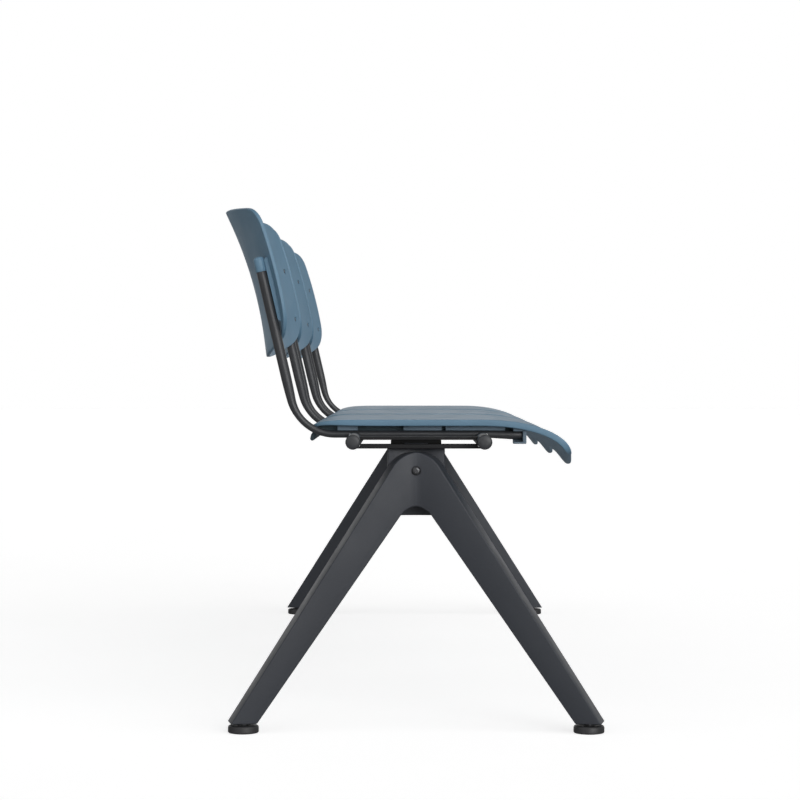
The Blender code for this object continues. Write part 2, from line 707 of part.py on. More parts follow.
def rib_mesh(name, tip, top, width):
    """A tapered rib along the row, with a round tip and its steep face to the rear."""
    forward, height = tip
    tip_arc = arc_points((0.0, 0.0), RIB_TIP_RADIUS, RIB_TIP_START, 2 * math.pi, CURVE_STEPS // 2)
    drawn = [(-RIB_RUN, top - height)] + tip_arc + [(RIB_TIP_RADIUS, top - height)]
    return slab_mesh(name, [(forward - x, height + z) for x, z in drawn], width)


def seat_underside(forward, depth):
    """Height of the layer line at a depth under the seat's upper line."""
    line = offset_line(seat_top_line(), depth)
    for before, after in zip(line, line[1:]):
        if before[0] <= forward <= after[0]:
            share = (forward - before[0]) / (after[0] - before[0])
            return before[1] + share * (after[1] - before[1])
    return line[-1][1]


def plan_front(reach, edge):
    """The plan's bowed front edge between its corners."""
    places = [reach * (1 - 2 * column / SEAT_COLUMNS) for column in range(1, SEAT_COLUMNS)]
    return [(x, -edge - SEAT_BOW * bow_at(x), 0.0) for x in places]


def seat_corner_cutter():
    """A rounded plan of the seat, tall enough to trim the whole shell."""
    half = SEAT_WIDTH / 2
    quarter = math.pi / 2
    edges = {1: SEAT_FRONT + SEAT_TRIM, -1: SEAT_REAR - SEAT_TRIM}
    corners = ((1, 1), (-1, 1), (-1, -1), (1, -1))
    outline = []
    for index, (across, along) in enumerate(corners):
        radius = SEAT_FRONT_CORNER if along > 0 else SEAT_REAR_CORNER
        centre = (across * (half - radius), edges[along] - along * radius)
        if across < 0 < along:
            outline += plan_front(half - radius, edges[along])
        for x, forward in arc_points(centre, radius, index * quarter, (index + 1) * quarter, CURVE_STEPS):
            outline.append((x, -forward, 0.0))
    curve = poly_curve("seat_plan", outline, "2D", True)
    curve.fill_mode = "BOTH"
    curve.extrude = SEAT_TOP - SEAT_LIP_HEIGHT
    holder = bpy.data.objects.new("seat_plan", curve)
    CUTTERS.objects.link(holder)
    holder.location = (0.0, 0.0, (SEAT_TOP + SEAT_LIP_HEIGHT) / 2)
    return add_object("seat_plan", curve_to_mesh(holder, "seat_plan"))


def seat_helpers():
    """The solids that are joined to or cut from each seat, drawn at x = 0."""
    core_line = [point for point in seat_top_line() if SEAT_REAR_FLAT <= point[0] <= CORE_FRONT]
    core = band_mesh("seat_core", core_line, SEAT_EDGE - CORE_OVERLAP, CORE_THICKNESS + CORE_OVERLAP,
                     CORE_WIDTH)
    extras = [bow_front(core)]
    rear_tip = (SEAT_REAR + REAR_RIB_SETBACK, SEAT_REAR_HEIGHT - REAR_RIB_DEPTH)
    extras.append(rib_mesh("seat_rear_rib", rear_tip, SEAT_REAR_HEIGHT + SEAT_EDGE / 2,
                           CORE_WIDTH - 2 * REAR_RIB_INSET))
    pad_bottom = ROD_HEIGHT + ROD_NECK_RADIUS - PAD_SADDLE
    pad_top = SEAT_TOP - SEAT_EDGE / 2
    for sign in SIDES.values():
        x = sign * ROD_SPACING / 2
        for index, (rear, front) in enumerate(PAD_SPANS):
            extras.append(block_mesh(f"seat_pad_{index}", at(x - PAD_WIDTH / 2, rear, pad_bottom),
                                     at(x + PAD_WIDTH / 2, front, pad_top)))
        socket_top = seat_underside(ROD_FRONT, SEAT_EDGE / 2)
        front = ROD_FRONT + FIT_GAP + SOCKET_WALL
        rear = front - SOCKET_LENGTH
        extras.append(block_mesh("seat_socket", at(x - SOCKET_WIDTH / 2, rear, SOCKET_BOTTOM),
                                 at(x + SOCKET_WIDTH / 2, front, socket_top - SEAT_EDGE / 2)))
    return [add_object(mesh.name, mesh) for mesh in extras]


def rod_room(sign):
    """Clearance for a rod's front end, open to the outer side of its socket."""
    x = sign * ROD_SPACING / 2
    front = ROD_FRONT + FIT_GAP
    rear = front - SOCKET_LENGTH - SOCKET_WALL
    side = block_mesh("rod_side_room", at(x, rear, SOCKET_BOTTOM + SOCKET_FLOOR),
                      at(x + sign * SOCKET_WIDTH, front, ROD_HEIGHT))
    path = rod_mesh("rod_path_room", FIT_GAP)
    path.transform(Matrix.Translation((x, 0.0, 0.0)))
    return [add_object(mesh.name, mesh) for mesh in (side, path)]


def build_seat(seat, helpers, rooms, plan):
    name = f"seat_{seat}"
    mesh = band_mesh(name, seat_top_line(), 0.0, SEAT_EDGE, SEAT_WIDTH + 2 * SEAT_TRIM)
    shell = add_object(name, bow_front(mesh), BLUE_PLASTIC)
    boolean(shell, plan, "INTERSECT")
    for helper in helpers:
        join(shell, helper)
    for room in rooms:
        cut(shell, room)
    return shell


# Backrests: a shell curved both ways, with a rib and a rod socket behind each side

def back_edges(x):
    """Lowest and highest point of the back's outline at one place across it."""
    half = BACK_WIDTH / 2
    share = (x / half) ** 2
    top = BACK_TOP - BACK_TOP_DROP * share
    bottom = BACK_BOTTOM + BACK_BOTTOM_RISE * share
    past_top = max(0.0, abs(x) - (half - BACK_TOP_CORNER))
    past_bottom = max(0.0, abs(x) - (half - BACK_BOTTOM_CORNER))
    top -= BACK_TOP_CORNER - math.sqrt(max(0.0, BACK_TOP_CORNER ** 2 - past_top ** 2))
    bottom += BACK_BOTTOM_CORNER - math.sqrt(max(0.0, BACK_BOTTOM_CORNER ** 2 - past_bottom ** 2))
    return bottom, top


def back_shell_mesh(name):
    shape = bmesh.new()
    bmesh.ops.create_grid(shape, x_segments=BACK_COLUMNS, y_segments=BACK_ROWS, size=1.0)
    for vert in shape.verts:
        x = BACK_WIDTH / 2 * math.sin(vert.co.x * math.pi / 2)
        bottom, top = back_edges(x)
        height = bottom + (top - bottom) * (vert.co.y + 1) / 2
        vert.co = at(x, back_profile(height) + back_sweep(x, height), height)
    bmesh.ops.recalc_face_normals(shape, faces=shape.faces)
    shape.normal_update()
    if sum(face.normal.y for face in shape.faces) < 0:
        bmesh.ops.reverse_faces(shape, faces=shape.faces)
    mesh = mesh_from(shape, name)
    shade_round(mesh)
    return mesh


def lean_frame(sign, height):
    """A frame on the rod's middle line: x along the row, y along the rod, z forward and square to both."""
    origin = at(sign * ROD_SPACING / 2, rod_upright(height), height)
    return Matrix.Translation(origin) @ Matrix.Rotation(math.pi / 2 - ROD_LEAN, 4, "X")


def back_rear_offset(height):
    """Distance from the rod's middle line to the rear face of the back, square to the rod."""
    rear = back_profile(height) + back_sweep(ROD_SPACING / 2, height)
    return (rear - rod_upright(height)) * math.cos(ROD_LEAN)


def back_rib_reach():
    """How far a rib reaches into the back: inside its wall all the way up."""
    middle = (BACK_RIB_BOTTOM + BACK_RIB_TOP) / 2
    offsets = [back_rear_offset(height) for height in (BACK_RIB_BOTTOM, middle, BACK_RIB_TOP)]
    return (max(offsets) + min(offsets) + BACK_THICKNESS) / 2


def back_helpers():
    """Rib and rod socket for each side, drawn at x = 0."""
    extras = []
    middle = (BACK_RIB_BOTTOM + BACK_RIB_TOP) / 2
    half_length = (BACK_RIB_TOP - BACK_RIB_BOTTOM) / 2 / math.cos(ROD_LEAN)
    rib_start = ROD_RADIUS + FIT_GAP
    rib_end = back_rib_reach()
    for sign in SIDES.values():
        rib = block_mesh("back_rib", Vector((-BACK_RIB_WIDTH / 2, -half_length, rib_start)),
                         Vector((BACK_RIB_WIDTH / 2, half_length, rib_end)))
        rib.transform(lean_frame(sign, middle))
        extras.append(rib)
        start = lean_frame(sign, ROD_TOP + FIT_GAP / math.cos(ROD_LEAN)).translation
        end = lean_frame(sign, BACK_SOCKET_TOP).translation
        extras.append(cylinder_mesh("back_socket", start, end, ROD_RADIUS + 2 * FIT_GAP, PIN_SIDES))
    return [add_object(mesh.name, mesh) for mesh in extras]


def build_back(seat, helpers):
    name = f"backrest_{seat}"
    back = add_object(name, back_shell_mesh(name), BLUE_PLASTIC)
    wall = back.modifiers.new("wall", "SOLIDIFY")
    wall.thickness = BACK_THICKNESS
    wall.offset = -1.0
    for helper in helpers:
        join(back, helper)
    return back


# Screws

def screw_profile(bite):
    head = SCREW_HEAD_HEIGHT + FIT_GAP
    shoulder = FIT_GAP + SCREW_HEAD_HEIGHT / 2
    return [(0.0, head), (SCREW_HEAD_FLAT, head), (SCREW_HEAD_RADIUS, shoulder), (SCREW_HEAD_RADIUS, FIT_GAP),
            (SCREW_RADIUS, FIT_GAP), (SCREW_RADIUS, -bite), (0.0, -bite)]


def screw_room(name, frame, bite):
    """Clearance hole along a screw's axis; the frame's z points out of the head."""
    mesh = cylinder_mesh(name, Vector((0.0, 0.0, -bite - SCREW_CLEARANCE)), Vector((0.0, 0.0, SCREW_BITE)),
                         SCREW_RADIUS + SCREW_CLEARANCE, SCREW_SIDES)
    mesh.transform(frame)
    return add_object(mesh.name, mesh)


def back_screw_seat(height):
    """Distance from the rod's middle line to the sunk seat under a screw's head."""
    return back_rear_offset(height) + BACK_THICKNESS - SCREW_SINK


def back_screw_frame(seat, sign, height):
    place = Matrix.Translation((seat_x(seat), 0.0, 0.0)) @ lean_frame(sign, height)
    return place @ Matrix.Translation((0.0, 0.0, back_screw_seat(height)))


def head_room(name, frame):
    """A flat-bottomed recess for a screw's head in the curved face."""
    mesh = cylinder_mesh(name, Vector((0.0, 0.0, 0.0)), Vector((0.0, 0.0, SCREW_BITE)),
                         SCREW_HEAD_RADIUS + SCREW_RECESS_MARGIN, PIN_SIDES)
    mesh.transform(frame)
    return add_object(mesh.name, mesh)


def add_back_screws(seat, back, rods):
    for side, sign in SIDES.items():
        for level, offset in BACK_SCREW_OFFSETS.items():
            height = ROD_TOP + offset
            name = f"back_screw_{seat}_{side}_{level}"
            frame = back_screw_frame(seat, sign, height)
            bite = back_screw_seat(height) - ROD_RADIUS + SCREW_BITE
            room = screw_room(name + "_room", frame, bite)
            cut(back, room)
            cut(back, head_room(name + "_recess", frame))
            cut(rods[side], room)
            turned_part(name, screw_profile(bite), SCREW_SIDES, DARK_STEEL, location=frame.translation,
                        rotation=frame.to_euler())


def add_seat_screws(seat, shell, rods):
    bite = 2 * ROD_NECK_RADIUS + SEAT_SCREW_BITE
    down = Matrix.Rotation(math.pi, 4, "X")
    for side in SIDES:
        name = f"seat_screw_{seat}_{side}"
        place = at(rod_x(seat, side), SEAT_SCREW_FORWARD, ROD_HEIGHT - ROD_NECK_RADIUS)
        room = screw_room(name + "_room", Matrix.Translation(place) @ down, bite)
        cut(shell, room)
        cut(rods[side], room)
        turned_part(name, screw_profile(bite), SCREW_SIDES, DARK_STEEL, location=place,
                    rotation=down.to_euler())


def shifted_copy(helper, seat):
    """A helper's own copy at one chair of the row."""
    return add_object(f"{helper.name}_{seat}", helper.data, location=(seat_x(seat), 0.0, 0.0))


def build_row():
    beam_rooms = [beam_cutter(end) for end in ENDS]
    for end in ENDS:
        build_beam(end)
    for side in SIDES:
        build_leg(side)
        build_bars(side, beam_rooms)
    plan = seat_corner_cutter()
    seat_extras = seat_helpers()
    seat_rooms = [room for sign in SIDES.values() for room in rod_room(sign)]
    back_extras = back_helpers()
    for seat in range(1, SEAT_COUNT + 1):
        rods = {side: build_rod(seat, side, beam_rooms) for side in SIDES}
        shell = build_seat(seat, [shifted_copy(extra, seat) for extra in seat_extras],
                           [shifted_copy(room, seat) for room in seat_rooms], shifted_copy(plan, seat))
        shell.location.x = seat_x(seat)
        back = build_back(seat, [shifted_copy(extra, seat) for extra in back_extras])
        back.location.x = seat_x(seat)
        add_back_screws(seat, back, rods)
        add_seat_screws(seat, shell, rods)


build_row()
bpy.context.view_layer.update()
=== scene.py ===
# %% [markdown]
# # A row of beam seating
# Three moulded chairs share two round beams, and a folded A-shaped leg carries each end of the row. The
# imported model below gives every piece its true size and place, but its surfaces are plain and faceted. Each
# step of this lesson models one kind of piece again with fine curves and soft edges, and the model keeps
# the plain solid for collision only.

# %% Load the frame
import math
import bpy
from mathutils import Matrix, Vector
from mathutils.geometry import interpolate_bezier


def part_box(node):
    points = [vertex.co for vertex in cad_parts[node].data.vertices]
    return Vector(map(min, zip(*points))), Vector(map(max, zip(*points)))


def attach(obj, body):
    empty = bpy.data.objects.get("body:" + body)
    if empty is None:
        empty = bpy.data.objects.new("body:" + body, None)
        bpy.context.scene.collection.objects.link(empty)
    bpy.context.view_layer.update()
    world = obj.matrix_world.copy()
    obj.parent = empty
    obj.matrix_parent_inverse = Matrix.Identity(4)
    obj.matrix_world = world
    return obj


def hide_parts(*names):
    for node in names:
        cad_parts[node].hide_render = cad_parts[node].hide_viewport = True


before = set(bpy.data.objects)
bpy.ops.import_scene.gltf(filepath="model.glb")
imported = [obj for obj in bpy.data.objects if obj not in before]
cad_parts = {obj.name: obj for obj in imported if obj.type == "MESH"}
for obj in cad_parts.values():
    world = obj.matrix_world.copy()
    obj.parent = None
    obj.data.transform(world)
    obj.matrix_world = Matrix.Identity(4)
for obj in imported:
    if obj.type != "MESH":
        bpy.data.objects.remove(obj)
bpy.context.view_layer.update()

# %% [markdown]
# The row runs along X and faces -Y. Distances forward are measured from the middle line of the legs,
# because all the pieces of the frame are set out from that line. Its place and the chairs' places are read
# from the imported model, so the new pieces follow it.

# %% Measure the frame
SIDES = {"left": -1, "right": 1}
ENDS = ("front", "rear")
CHAIRS = (1, 2, 3)


def middle(node):
    low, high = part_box(node)
    return (low + high) / 2


LEG_Y = middle("leg_left").y
CHAIR_X = {chair: middle(f"seat_{chair}").x for chair in CHAIRS}


def at(x, forward, height):
    """A point from its place along the row, its reach forward of the legs' middle line and its height."""
    return Vector((x, LEG_Y - forward, height))


print("legs' middle line at y =", round(LEG_Y, 4), "chairs at x =", [round(x, 3) for x in CHAIR_X.values()])

# %% [markdown]
# Blender's operators work on whatever is selected. These helpers select one object, or some of its faces,
# by name or by place, so that each later step changes only what it means to change.

# %% Select in code
def only(piece):
    """Select one object alone and make it the active one."""
    bpy.ops.object.select_all(action="DESELECT")
    piece.select_set(True)
    bpy.context.view_layer.objects.active = piece


def edit_all(piece):
    """Open one object in edit mode with everything selected."""
    only(piece)
    bpy.ops.object.mode_set(mode="EDIT")
    bpy.ops.mesh.select_mode(type="VERT")
    bpy.ops.mesh.select_all(action="SELECT")


def pick_faces(piece, test):
    """Open one object in edit mode with only the faces selected whose middle and normal pass a test."""
    only(piece)
    bpy.ops.object.mode_set(mode="EDIT")
    bpy.ops.mesh.select_mode(type="FACE")
    bpy.ops.mesh.select_all(action="DESELECT")
    bpy.ops.object.mode_set(mode="OBJECT")
    for face in piece.data.polygons:
        face.select = test(face.center, face.normal)
    bpy.ops.object.mode_set(mode="EDIT")


def close_edit(piece):
    """Point all faces outward and leave edit mode."""
    bpy.ops.mesh.select_all(action="SELECT")
    bpy.ops.mesh.normals_make_consistent(inside=False)
    bpy.ops.object.mode_set(mode="OBJECT")
    return piece


print("selection helpers ready")

# %% [markdown]
# Modifiers do the work that would be slow by hand: a Solidify gives a sheet its wall, a Bevel softens
# edges, a Subdivision Surface rounds a coarse cage and a Boolean cuts one shape from another. Each one is
# applied at once, so the finished piece is a plain mesh.

# %% Modify and cut
SMOOTH_ANGLE = math.radians(38)
EDGE_ANGLE = math.radians(50)


def modify(piece, kind, **settings):
    """Add one modifier to a piece and apply it."""
    only(piece)
    step = piece.modifiers.new(kind.lower(), kind)
    for name, value in settings.items():
        setattr(step, name, value)
    bpy.ops.object.modifier_apply(modifier=step.name)
    return piece


def soften(piece, width, segments=2):
    """Bevel every sharp edge of a piece."""
    return modify(piece, "BEVEL", width=width, segments=segments, limit_method="ANGLE",
                  angle_limit=EDGE_ANGLE, harden_normals=False)


def round_cage(piece, levels):
    return modify(piece, "SUBSURF", levels=levels, render_levels=levels)


def cut(piece, cutter):
    """Cut one shape out of a piece and remove the cutter."""
    modify(piece, "BOOLEAN", operation="DIFFERENCE", object=cutter)
    bpy.data.objects.remove(cutter, do_unlink=True)
    return piece


def join(name, *parts):
    """Join several objects into the first one."""
    only(parts[0])
    for part in parts:
        part.select_set(True)
    bpy.ops.object.join()
    parts[0].name = name
    return parts[0]


def smooth(piece):
    only(piece)
    bpy.ops.object.shade_smooth_by_angle(angle=SMOOTH_ANGLE)
    return piece


print("modifier helpers ready")

# %% [markdown]
# Three ways to start a piece come back again and again. A box is a cube scaled to its corners. A round
# piece is a ring that is extruded and resized step by step, as on a lathe. A flat plate is an outline that
# is traced by extruding one point from corner to corner, filled, and extruded to its thickness.

# %% Start a piece
WELD = 1e-5


def start_box(name, low, high):
    bpy.ops.object.select_all(action="DESELECT")
    bpy.ops.mesh.primitive_cube_add(size=1.0, location=(low + high) / 2)
    piece = bpy.context.object
    piece.name = name
    piece.scale = [abs(length) for length in high - low]
    bpy.ops.object.transform_apply(location=True, rotation=True, scale=True)
    return piece


def start_round(name, profile, sides):
    """A ring of (radius, height) pairs about Z, extruded and resized from the first pair to the last."""
    radius, height = profile[0]
    bpy.ops.object.select_all(action="DESELECT")
    bpy.ops.mesh.primitive_circle_add(vertices=sides, radius=radius, fill_type="NGON",
                                      location=(0, 0, height))
    piece = bpy.context.object
    piece.name = name
    bpy.ops.object.transform_apply(location=True, rotation=True, scale=True)
    edit_all(piece)
    for (before, low), (after, high) in zip(profile, profile[1:]):
        share = after / before
        bpy.ops.mesh.extrude_region_move(TRANSFORM_OT_translate={"value": (0, 0, high - low)})
        bpy.ops.transform.resize(value=(share, share, 1.0), center_override=(0, 0, high))
    return close_edit(piece)


def trace(name, points, thickness):
    """A plate from an outline of points, extruded along a thickness vector."""
    bpy.ops.object.select_all(action="DESELECT")
    bpy.ops.mesh.primitive_plane_add(size=0.01, location=points[0])
    piece = bpy.context.object
    piece.name = name
    bpy.ops.object.transform_apply(location=True, rotation=True, scale=True)
    edit_all(piece)
    bpy.ops.mesh.merge(type="CENTER")
    for start, end in zip(points, points[1:] + points[:1]):
        bpy.ops.mesh.extrude_region_move(TRANSFORM_OT_translate={"value": end - start})
    bpy.ops.mesh.select_all(action="SELECT")
    bpy.ops.mesh.remove_doubles(threshold=WELD)
    bpy.ops.mesh.edge_face_add()
    bpy.ops.mesh.extrude_region_move(TRANSFORM_OT_translate={"value": thickness})
    return close_edit(piece)


def arc(centre, radius, start, end, steps):
    """Points of an arc, in degrees, as (forward, height)."""
    turns = [math.radians(start + (end - start) * step / steps) for step in range(steps + 1)]
    return [(centre[0] + radius * math.cos(turn), centre[1] + radius * math.sin(turn)) for turn in turns]


print("starting shapes ready")

# %% [markdown]
# A shape that repeats is modelled once, as a pattern, and then copied. The copy's place goes into its own
# mesh, so every finished object sits at the origin. Each finished piece then rides on its body, takes the
# place of its plain solid and gets its finish.

# %% Copy and hand over
FINISHES = {}


def copy_of(pattern, name, move):
    """A copy with its own mesh, moved by a matrix; a mirrored copy gets its faces turned back outward."""
    piece = bpy.data.objects.new(name, pattern.data.copy())
    bpy.context.scene.collection.objects.link(piece)
    piece.data.transform(move)
    if move.determinant() < 0:
        piece.data.flip_normals()
    return piece


def shift(x, y=0.0):
    return Matrix.Translation((x, y, 0.0))


def hand_over(piece, node, finish, body="frame", look=None):
    """Give a finished piece its material and its body, and hide the plain solid of the node that it stands
    for.
    """
    piece.data.materials.clear()
    piece.data.materials.append(FINISHES[look or finish])
    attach(piece, body)
    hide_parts(node)


def drop(*patterns):
    for pattern in patterns:
        bpy.data.objects.remove(pattern, do_unlink=True)


MIRROR = Matrix.Scale(-1.0, 4, (1.0, 0.0, 0.0))
print("copy helpers ready")

# %% [markdown]
# ## Finishes
# The frame is powder coated: the coat is matt, a little uneven in colour, and has a fine orange-peel skin.
# The blue mouldings have a fine spark-eroded grain and small cloudy changes of tone. Under the seats the pads
# and core get a darker, greyer blue, which is painted shade from the seat's overhang. The bars and the block
# between them get a near black, which is painted shade under the seats. One graph serves them all: two noises
# vary the colour, one varies the roughness, a fine one makes the bump, and the edges are rubbed a little
# lighter. Only the numbers differ.

# %% Build a finish
def add_node(tree, kind, **settings):
    node = tree.nodes.new(kind)
    for name, value in settings.items():
        setattr(node, name, value)
    return node


def add_noise(tree, coords, scale, detail=2.0):
    noise = add_node(tree, "ShaderNodeTexNoise")
    noise.inputs["Scale"].default_value = scale
    noise.inputs["Detail"].default_value = detail
    tree.links.new(coords.outputs["Object"], noise.inputs["Vector"])
    return noise.outputs["Fac"]


def add_range(tree, value, low, high, from_low=0.3, from_high=0.7):
    ranged = add_node(tree, "ShaderNodeMapRange")
    ranged.inputs["From Min"].default_value = from_low
    ranged.inputs["From Max"].default_value = from_high
    ranged.inputs["To Min"].default_value = low
    ranged.inputs["To Max"].default_value = high
    tree.links.new(value, ranged.inputs["Value"])
    return ranged.outputs["Result"]


def add_mix(tree, share, first, second):
    """Mix two colours; each is a colour or a socket."""
    mix = add_node(tree, "ShaderNodeMix", data_type="RGBA")
    tree.links.new(share, mix.inputs["Factor"])
    for name, source in (("A", first), ("B", second)):
        socket = next(item for item in mix.inputs if item.name == name and item.type == "RGBA")
        if isinstance(source, tuple):
            socket.default_value = (*source, 1.0)
        else:
            tree.links.new(source, socket)
    return next(item for item in mix.outputs if item.type == "RGBA")


def tinted(colour, share):
    return tuple(part * share for part in colour)


print("finish helpers ready")

# %% [markdown]
# The finish function wires the graph. Cloudy tone comes from a wide noise and speckle from a fine one. The
# Geometry node's Pointiness is high on outward edges, which is where a coat or a grain rubs bright first.

# %% Wire the coats and mouldings
CLOUD = 0.07
SPECKLE = 0.06
WEAR = 0.20


def new_finish(slot, name, colour, rough, grain, peel, shine=0.5, metallic=0.0):
    """A procedural material for one slot, with a range of roughness and a bump of fine grain."""
    material = bpy.data.materials.new(name)
    material.use_nodes = True
    tree = material.node_tree
    shader = tree.nodes["Principled BSDF"]
    shader.inputs["Metallic"].default_value = metallic
    shader.inputs["Specular IOR Level"].default_value = shine
    coords = add_node(tree, "ShaderNodeTexCoord")
    clouds = add_range(tree, add_noise(tree, coords, 7.0, 3.0), 0.0, 1.0)
    specks = add_range(tree, add_noise(tree, coords, grain * 0.6), 0.0, 1.0)
    tone = add_mix(tree, clouds, tinted(colour, 1 - CLOUD), tinted(colour, 1 + CLOUD))
    fleck = add_mix(tree, add_range(tree, specks, 0.0, SPECKLE, 0.4, 1.0), tone, tinted(colour, 2.2))
    rub = add_node(tree, "ShaderNodeNewGeometry").outputs["Pointiness"]
    rubbed = add_mix(tree, add_range(tree, rub, 0.0, WEAR, 0.52, 0.62), fleck, tinted(colour, 1.8))
    tree.links.new(rubbed, shader.inputs["Base Color"])
    handled = add_noise(tree, coords, 24.0, 4.0)
    tree.links.new(add_range(tree, handled, *rough), shader.inputs["Roughness"])
    bump = add_node(tree, "ShaderNodeBump")
    bump.inputs["Strength"].default_value = peel
    bump.inputs["Distance"].default_value = 0.0004
    tree.links.new(add_noise(tree, coords, grain), bump.inputs["Height"])
    tree.links.new(bump.outputs["Normal"], shader.inputs["Normal"])
    FINISHES[slot] = material


new_finish("blue_plastic", "blue_moulding", (0.132, 0.244, 0.345), (0.40, 0.52), 1500.0, 0.10, shine=0.42)
# The core's darker, greyer blue is painted shade: the seat's underside lies in the shade of its overhang.
new_finish("core_painted_shade", "core_moulding_painted_shade", (0.078, 0.110, 0.126), (0.55, 0.68), 1500.0, 0.10, shine=0.25)
# The pads' darker, greyer blue is painted shade under the seat's overhang.
new_finish("pad_painted_shade", "pad_moulding_painted_shade", (0.142, 0.192, 0.238), (0.55, 0.68), 1500.0, 0.10, shine=0.25)
new_finish("leg_paint", "grey_powder_coat", (0.032, 0.036, 0.045), (0.46, 0.56), 1100.0, 0.16)
new_finish("frame_paint", "black_powder_coat", (0.035, 0.037, 0.041), (0.34, 0.46), 1100.0, 0.16)
# The bars' near black is painted shade: they stand in the shade under the seats.
new_finish("bar_painted_shade", "black_coat_painted_shade", (0.011, 0.011, 0.012), (0.55, 0.70), 1100.0, 0.12, shine=0.25)
# The spacer's near black is painted shade between the bars.
new_finish("spacer_painted_shade", "spacer_black_painted_shade", (0.005, 0.005, 0.005), (0.70, 0.85), 1800.0, 0.14, shine=0.08)
new_finish("glide_plastic", "black_foot_moulding", (0.026, 0.026, 0.028), (0.42, 0.58), 1800.0, 0.14)
new_finish("dark_steel", "blackened_steel", (0.085, 0.086, 0.090), (0.26, 0.40), 2600.0, 0.08, metallic=0.85)
print("finishes:", ", ".join(material.name for material in FINISHES.values()))

# %% [markdown]
# ## Seats
# A seat is a moulded shell about 10 mm thick. It is flat on top, rolls down over the front into a deep lip
# and curls a little at the rear. The lip isn't straight: towards its middle it bows forward and dips. A box
# could be bent to these lines, but a grid gives even faces: its rows are laid along the seat's side line
# and each row is narrowed near the ends, so that the corners turn round. Solidify, Bevel and a Subdivision
# Surface then make it a smooth wall with soft edges.

# %% The seat's side line
SEAT_TOP = 0.453
SEAT_HALF = 0.230
SEAT_WALL = 0.010
FRONT_CORNER = 0.022
REAR_CORNER = 0.060


def seat_line():
    """The seat's upper line as (forward, height), from the front lip to the rear edge."""
    front = interpolate_bezier((0.2361, 0.400), (0.2368, 0.430), (0.1765, SEAT_TOP), (0.105, SEAT_TOP), 48)
    curl = ((-0.105, SEAT_TOP), (-0.141, SEAT_TOP), (-0.1640, 0.4475), (-0.1645, 0.4360))
    return front + interpolate_bezier(*curl, 32)


def walk(line, distance):
    """The point at a distance along a line."""
    for start, end in zip(line, line[1:]):
        length = (end - start).length
        if distance <= length:
            return start.lerp(end, distance / length)
        distance -= length
    return line[-1]


def corner_steps(radius, angles):
    return [radius * (1 - math.cos(math.radians(angle))) for angle in angles]


SEAT_LINE = [Vector(point) for point in seat_line()]
SEAT_RUN = sum((end - start).length for start, end in zip(SEAT_LINE, SEAT_LINE[1:]))
print("the seat line is", round(SEAT_RUN, 3), "m long")

# %% [markdown]
# The rows lie close together where a corner turns and far apart on the flat. Close rows by the edges also
# hold the bevel, which would pinch if a row lay nearer to the edge than the bevel is wide.

# %% Lay the rows
ROLL_RUN = 0.150
ROLL_ROWS = 9
FLAT_ROWS = 6


def seat_rows():
    """Distances of the rows from the front end of the seat line."""
    front = corner_steps(FRONT_CORNER, (0, 36, 62, 90))
    rear = [SEAT_RUN - step for step in corner_steps(REAR_CORNER, (0, 26, 46, 66, 90))]
    roll = [FRONT_CORNER + (ROLL_RUN - FRONT_CORNER) * step / ROLL_ROWS for step in range(1, ROLL_ROWS + 1)]
    flat = [ROLL_RUN + (rear[-1] - ROLL_RUN) * step / FLAT_ROWS for step in range(1, FLAT_ROWS)]
    return front + roll + flat + rear[::-1]


def seat_half_width(distance):
    """Half the seat's width at a row: less where the corners turn."""
    for radius, past in ((FRONT_CORNER, distance), (REAR_CORNER, SEAT_RUN - distance)):
        if past < radius:
            return SEAT_HALF - radius + math.sqrt(radius ** 2 - (radius - past) ** 2)
    return SEAT_HALF


SEAT_ROWS = seat_rows()
print(len(SEAT_ROWS), "rows along the seat")

# %% [markdown]
# The grid starts flat. Its points are numbered by their place in it, and each one is moved to its row and
# its share of that row's width. The rows of the roll also get the bow and the dip, most of all in the
# seat's middle.

# %% Lay out the seat's surface
BOW_START = 0.105
FRONT_BOW = 0.0110
FRONT_DIP = 0.0235
COLUMN_SHARES = (-1.0, -0.93, -0.75, -0.4, 0.0, 0.4, 0.75, 0.93, 1.0)


def start_grid(name, columns, rows):
    bpy.ops.object.select_all(action="DESELECT")
    bpy.ops.mesh.primitive_grid_add(x_subdivisions=columns, y_subdivisions=rows, size=2.0)
    piece = bpy.context.object
    piece.name = name
    return piece


def lay_grid(piece, columns, rows, place):
    """Move each point of a grid to the place of its column and row."""
    for point in piece.data.vertices:
        column = round((point.co.x + 1) / 2 * columns)
        row = round((point.co.y + 1) / 2 * rows)
        point.co = place(column, row)
    return piece


def bow_share(x, forward):
    """How much of the bow a place has: none at the sides or behind the roll, all in the middle of the lip."""
    share = max(0.0, (forward - BOW_START) / (SEAT_LINE[0].x - BOW_START))
    return share * (1 - (x / SEAT_HALF) ** 2) ** 2


def seat_place(column, row):
    forward, height = walk(SEAT_LINE, SEAT_ROWS[row])
    x = COLUMN_SHARES[column] * seat_half_width(SEAT_ROWS[row])
    bow = bow_share(x, forward)
    return at(x, forward + FRONT_BOW * bow, height - FRONT_DIP * bow)


SEAT_COLUMNS = len(COLUMN_SHARES) - 1
seat_grid = start_grid("seat_shell", SEAT_COLUMNS, len(SEAT_ROWS) - 1)
seat_shell = lay_grid(seat_grid, SEAT_COLUMNS, len(SEAT_ROWS) - 1, seat_place)
print("seat surface:", len(seat_shell.data.vertices), "points")

# %% [markdown]
# Solidify gives the surface its wall downward, away from the sitter. The wall of the real moulding thins
# out towards its front and rear edge, so the lower skin is drawn up to the upper one there.

# %% Model the seat shell
REAR_TAPER = (0.104, 0.152)
REAR_THINNING = 0.50
FRONT_TAPER = 0.012
FRONT_THINNING = 0.40


